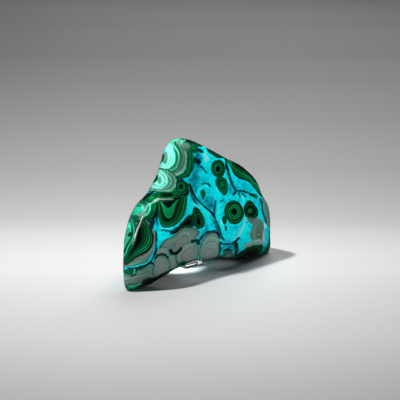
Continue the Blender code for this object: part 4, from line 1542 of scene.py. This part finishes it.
# Where the light through the clear prop falls on the table: the place in mm, the width in degrees and
# the share of the light. It comes from this azimuth and elevation, from a small lamp so many metres off.
GLOWS = (
    ((-7.5, 3.6), 2.3, 1.0), ((3.0, 7.0), 1.4, 0.8), ((16.0, -4.0), 2.2, 0.06),
    ((-26.0, -11.0), 3.4, 0.06), ((-6.0, -16.0), 3.0, 0.06),
)
GLOW_FROM = (-112, 40)
GLOW_DISTANCE = 0.5
GLOW_LAMP = 0.003
GLOW_SOFTNESS = 0.7
SENSOR_WIDTH = 36.0
CLIP_END = 20.0


def direction(azimuth, elevation):
    """Unit vector towards a place seen at an azimuth and elevation in degrees; azimuth 0 is -Y."""
    azimuth, elevation = np.radians([azimuth, elevation])
    flat = np.cos(elevation)
    return np.array([np.sin(azimuth) * flat, -np.cos(azimuth) * flat, np.sin(elevation)])


def aimed(item, place, target):
    """Put a light or a camera at a place, looking at a target."""
    item.location = place
    look = np.subtract(target, place)
    item.rotation_euler = Vector(look.tolist()).to_track_quat("-Z", "Y").to_euler()
    bpy.context.collection.objects.link(item)


def collection(name, *members):
    """A collection that lights are linked to, outside the scene's own."""
    group = bpy.data.collections.new(name)
    for member in members:
        group.objects.link(member)
    return group


def softbox(name, energy, azimuth, elevation, distance, size, only=None, gleam=False):
    """A rectangular light that looks at the stone: it can light one collection only, and leave a gleam."""
    lamp = bpy.data.lights.new(name, "AREA")
    lamp.shape = "RECTANGLE"
    lamp.size, lamp.size_y = size
    lamp.energy = energy
    target = np.array(AIM) * MM
    box = bpy.data.objects.new(name, lamp)
    aimed(box, target + direction(azimuth, elevation) * distance, target)
    box.visible_glossy = gleam
    if only:
        box.light_linking.receiver_collection = only


def glow(name, energy, place, width, lit, shades):
    """A narrow spot of light on the table, from the key light's side."""
    spot = bpy.data.lights.new(name, "SPOT")
    spot.energy = energy
    spot.spot_size = np.radians(width)
    spot.spot_blend = GLOW_SOFTNESS
    spot.shadow_soft_size = GLOW_LAMP
    lamp = bpy.data.objects.new(name, spot)
    target = np.array((*place, 0.0)) * MM
    aimed(lamp, target + direction(*GLOW_FROM) * GLOW_DISTANCE, target)
    lamp.light_linking.receiver_collection = lit
    lamp.light_linking.blocker_collection = shades


class FREEFORM_OT_stage(bpy.types.Operator):
    """Set the pale table, the studio lights and the camera"""

    bl_idname = "freeform.stage"
    bl_label = "Stage"

    def execute(self, context):
        settings = context.scene.freeform_stage
        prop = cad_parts["clear_prop"]
        corners = np.array([[-1, -1, 0], [1, -1, 0], [1, 1, 0], [-1, 1, 0]]) * TABLE_HALF
        table = mesh_object("table", corners, np.array([[0, 1, 2, 3]]), pale_table())
        table.visible_glossy = False
        pieces = [piece for piece in bpy.data.objects if piece.type == "MESH" and piece is not table]
        lit_table = collection("lit_table", table, prop)
        lit = {"all": None, "table": lit_table, "pieces": collection("lit_pieces", *pieces)}
        for name, only, gleam, place in SOFTBOXES:
            softbox(name, getattr(settings, f"{name}_power"), *place, only=lit[only], gleam=gleam)
        shades = collection("shades_glows", prop)
        for index, (place, width, share) in enumerate(GLOWS):
            glow(f"glow_{index}", settings.low_power * share, place, width, lit_table, shades)
        world = bpy.data.worlds.new("room")
        world.use_nodes = True
        world.node_tree.nodes["Background"].inputs["Color"].default_value = (1, 1, 1, 1)
        world.node_tree.nodes["Background"].inputs["Strength"].default_value = settings.world_light
        context.scene.world = world
        context.scene.view_settings.view_transform = "Standard"
        camera = bpy.data.cameras.new("camera")
        camera.sensor_width = SENSOR_WIDTH
        camera.lens = settings.lens
        camera.clip_end = CLIP_END
        viewer = bpy.data.objects.new("camera", camera)
        target = np.array(AIM) * MM
        aimed(viewer, target + sheet_axes()[2] * SHEET_DISTANCE * MM, target)
        context.scene.camera = viewer
        return {"FINISHED"}


class FREEFORM_PT_panel(bpy.types.Panel):
    """The freeform's pieces and their settings"""

    bl_idname = "FREEFORM_PT_panel"
    bl_label = "Freeform"
    bl_space_type = "VIEW_3D"
    bl_region_type = "UI"
    bl_category = "Freeform"

    def draw(self, context):
        for operator in OPERATORS:
            self.layout.operator(operator.bl_idname)
        for group in (context.scene.freeform_stone, context.scene.freeform_stage):
            for name in group.__annotations__:
                self.layout.prop(group, name)


OPERATORS = (FREEFORM_OT_stone, FREEFORM_OT_prop, FREEFORM_OT_stage)
CLASSES = (FREEFORM_PG_stone, FREEFORM_PG_stage, *OPERATORS, FREEFORM_PT_panel)


def register():
    """Add the classes and their settings to Blender."""
    for item in CLASSES:
        bpy.utils.register_class(item)
    bpy.types.Scene.freeform_stone = bpy.props.PointerProperty(type=FREEFORM_PG_stone)
    bpy.types.Scene.freeform_stage = bpy.props.PointerProperty(type=FREEFORM_PG_stage)


def unregister():
    """Take them out again."""
    del bpy.types.Scene.freeform_stage
    del bpy.types.Scene.freeform_stone
    for item in reversed(CLASSES):
        bpy.utils.unregister_class(item)


def main():
    """Build everything."""
    register()
    bpy.ops.freeform.stone()
    bpy.ops.freeform.prop()
    bpy.ops.freeform.stage()


if __name__ == "__main__":
    main()
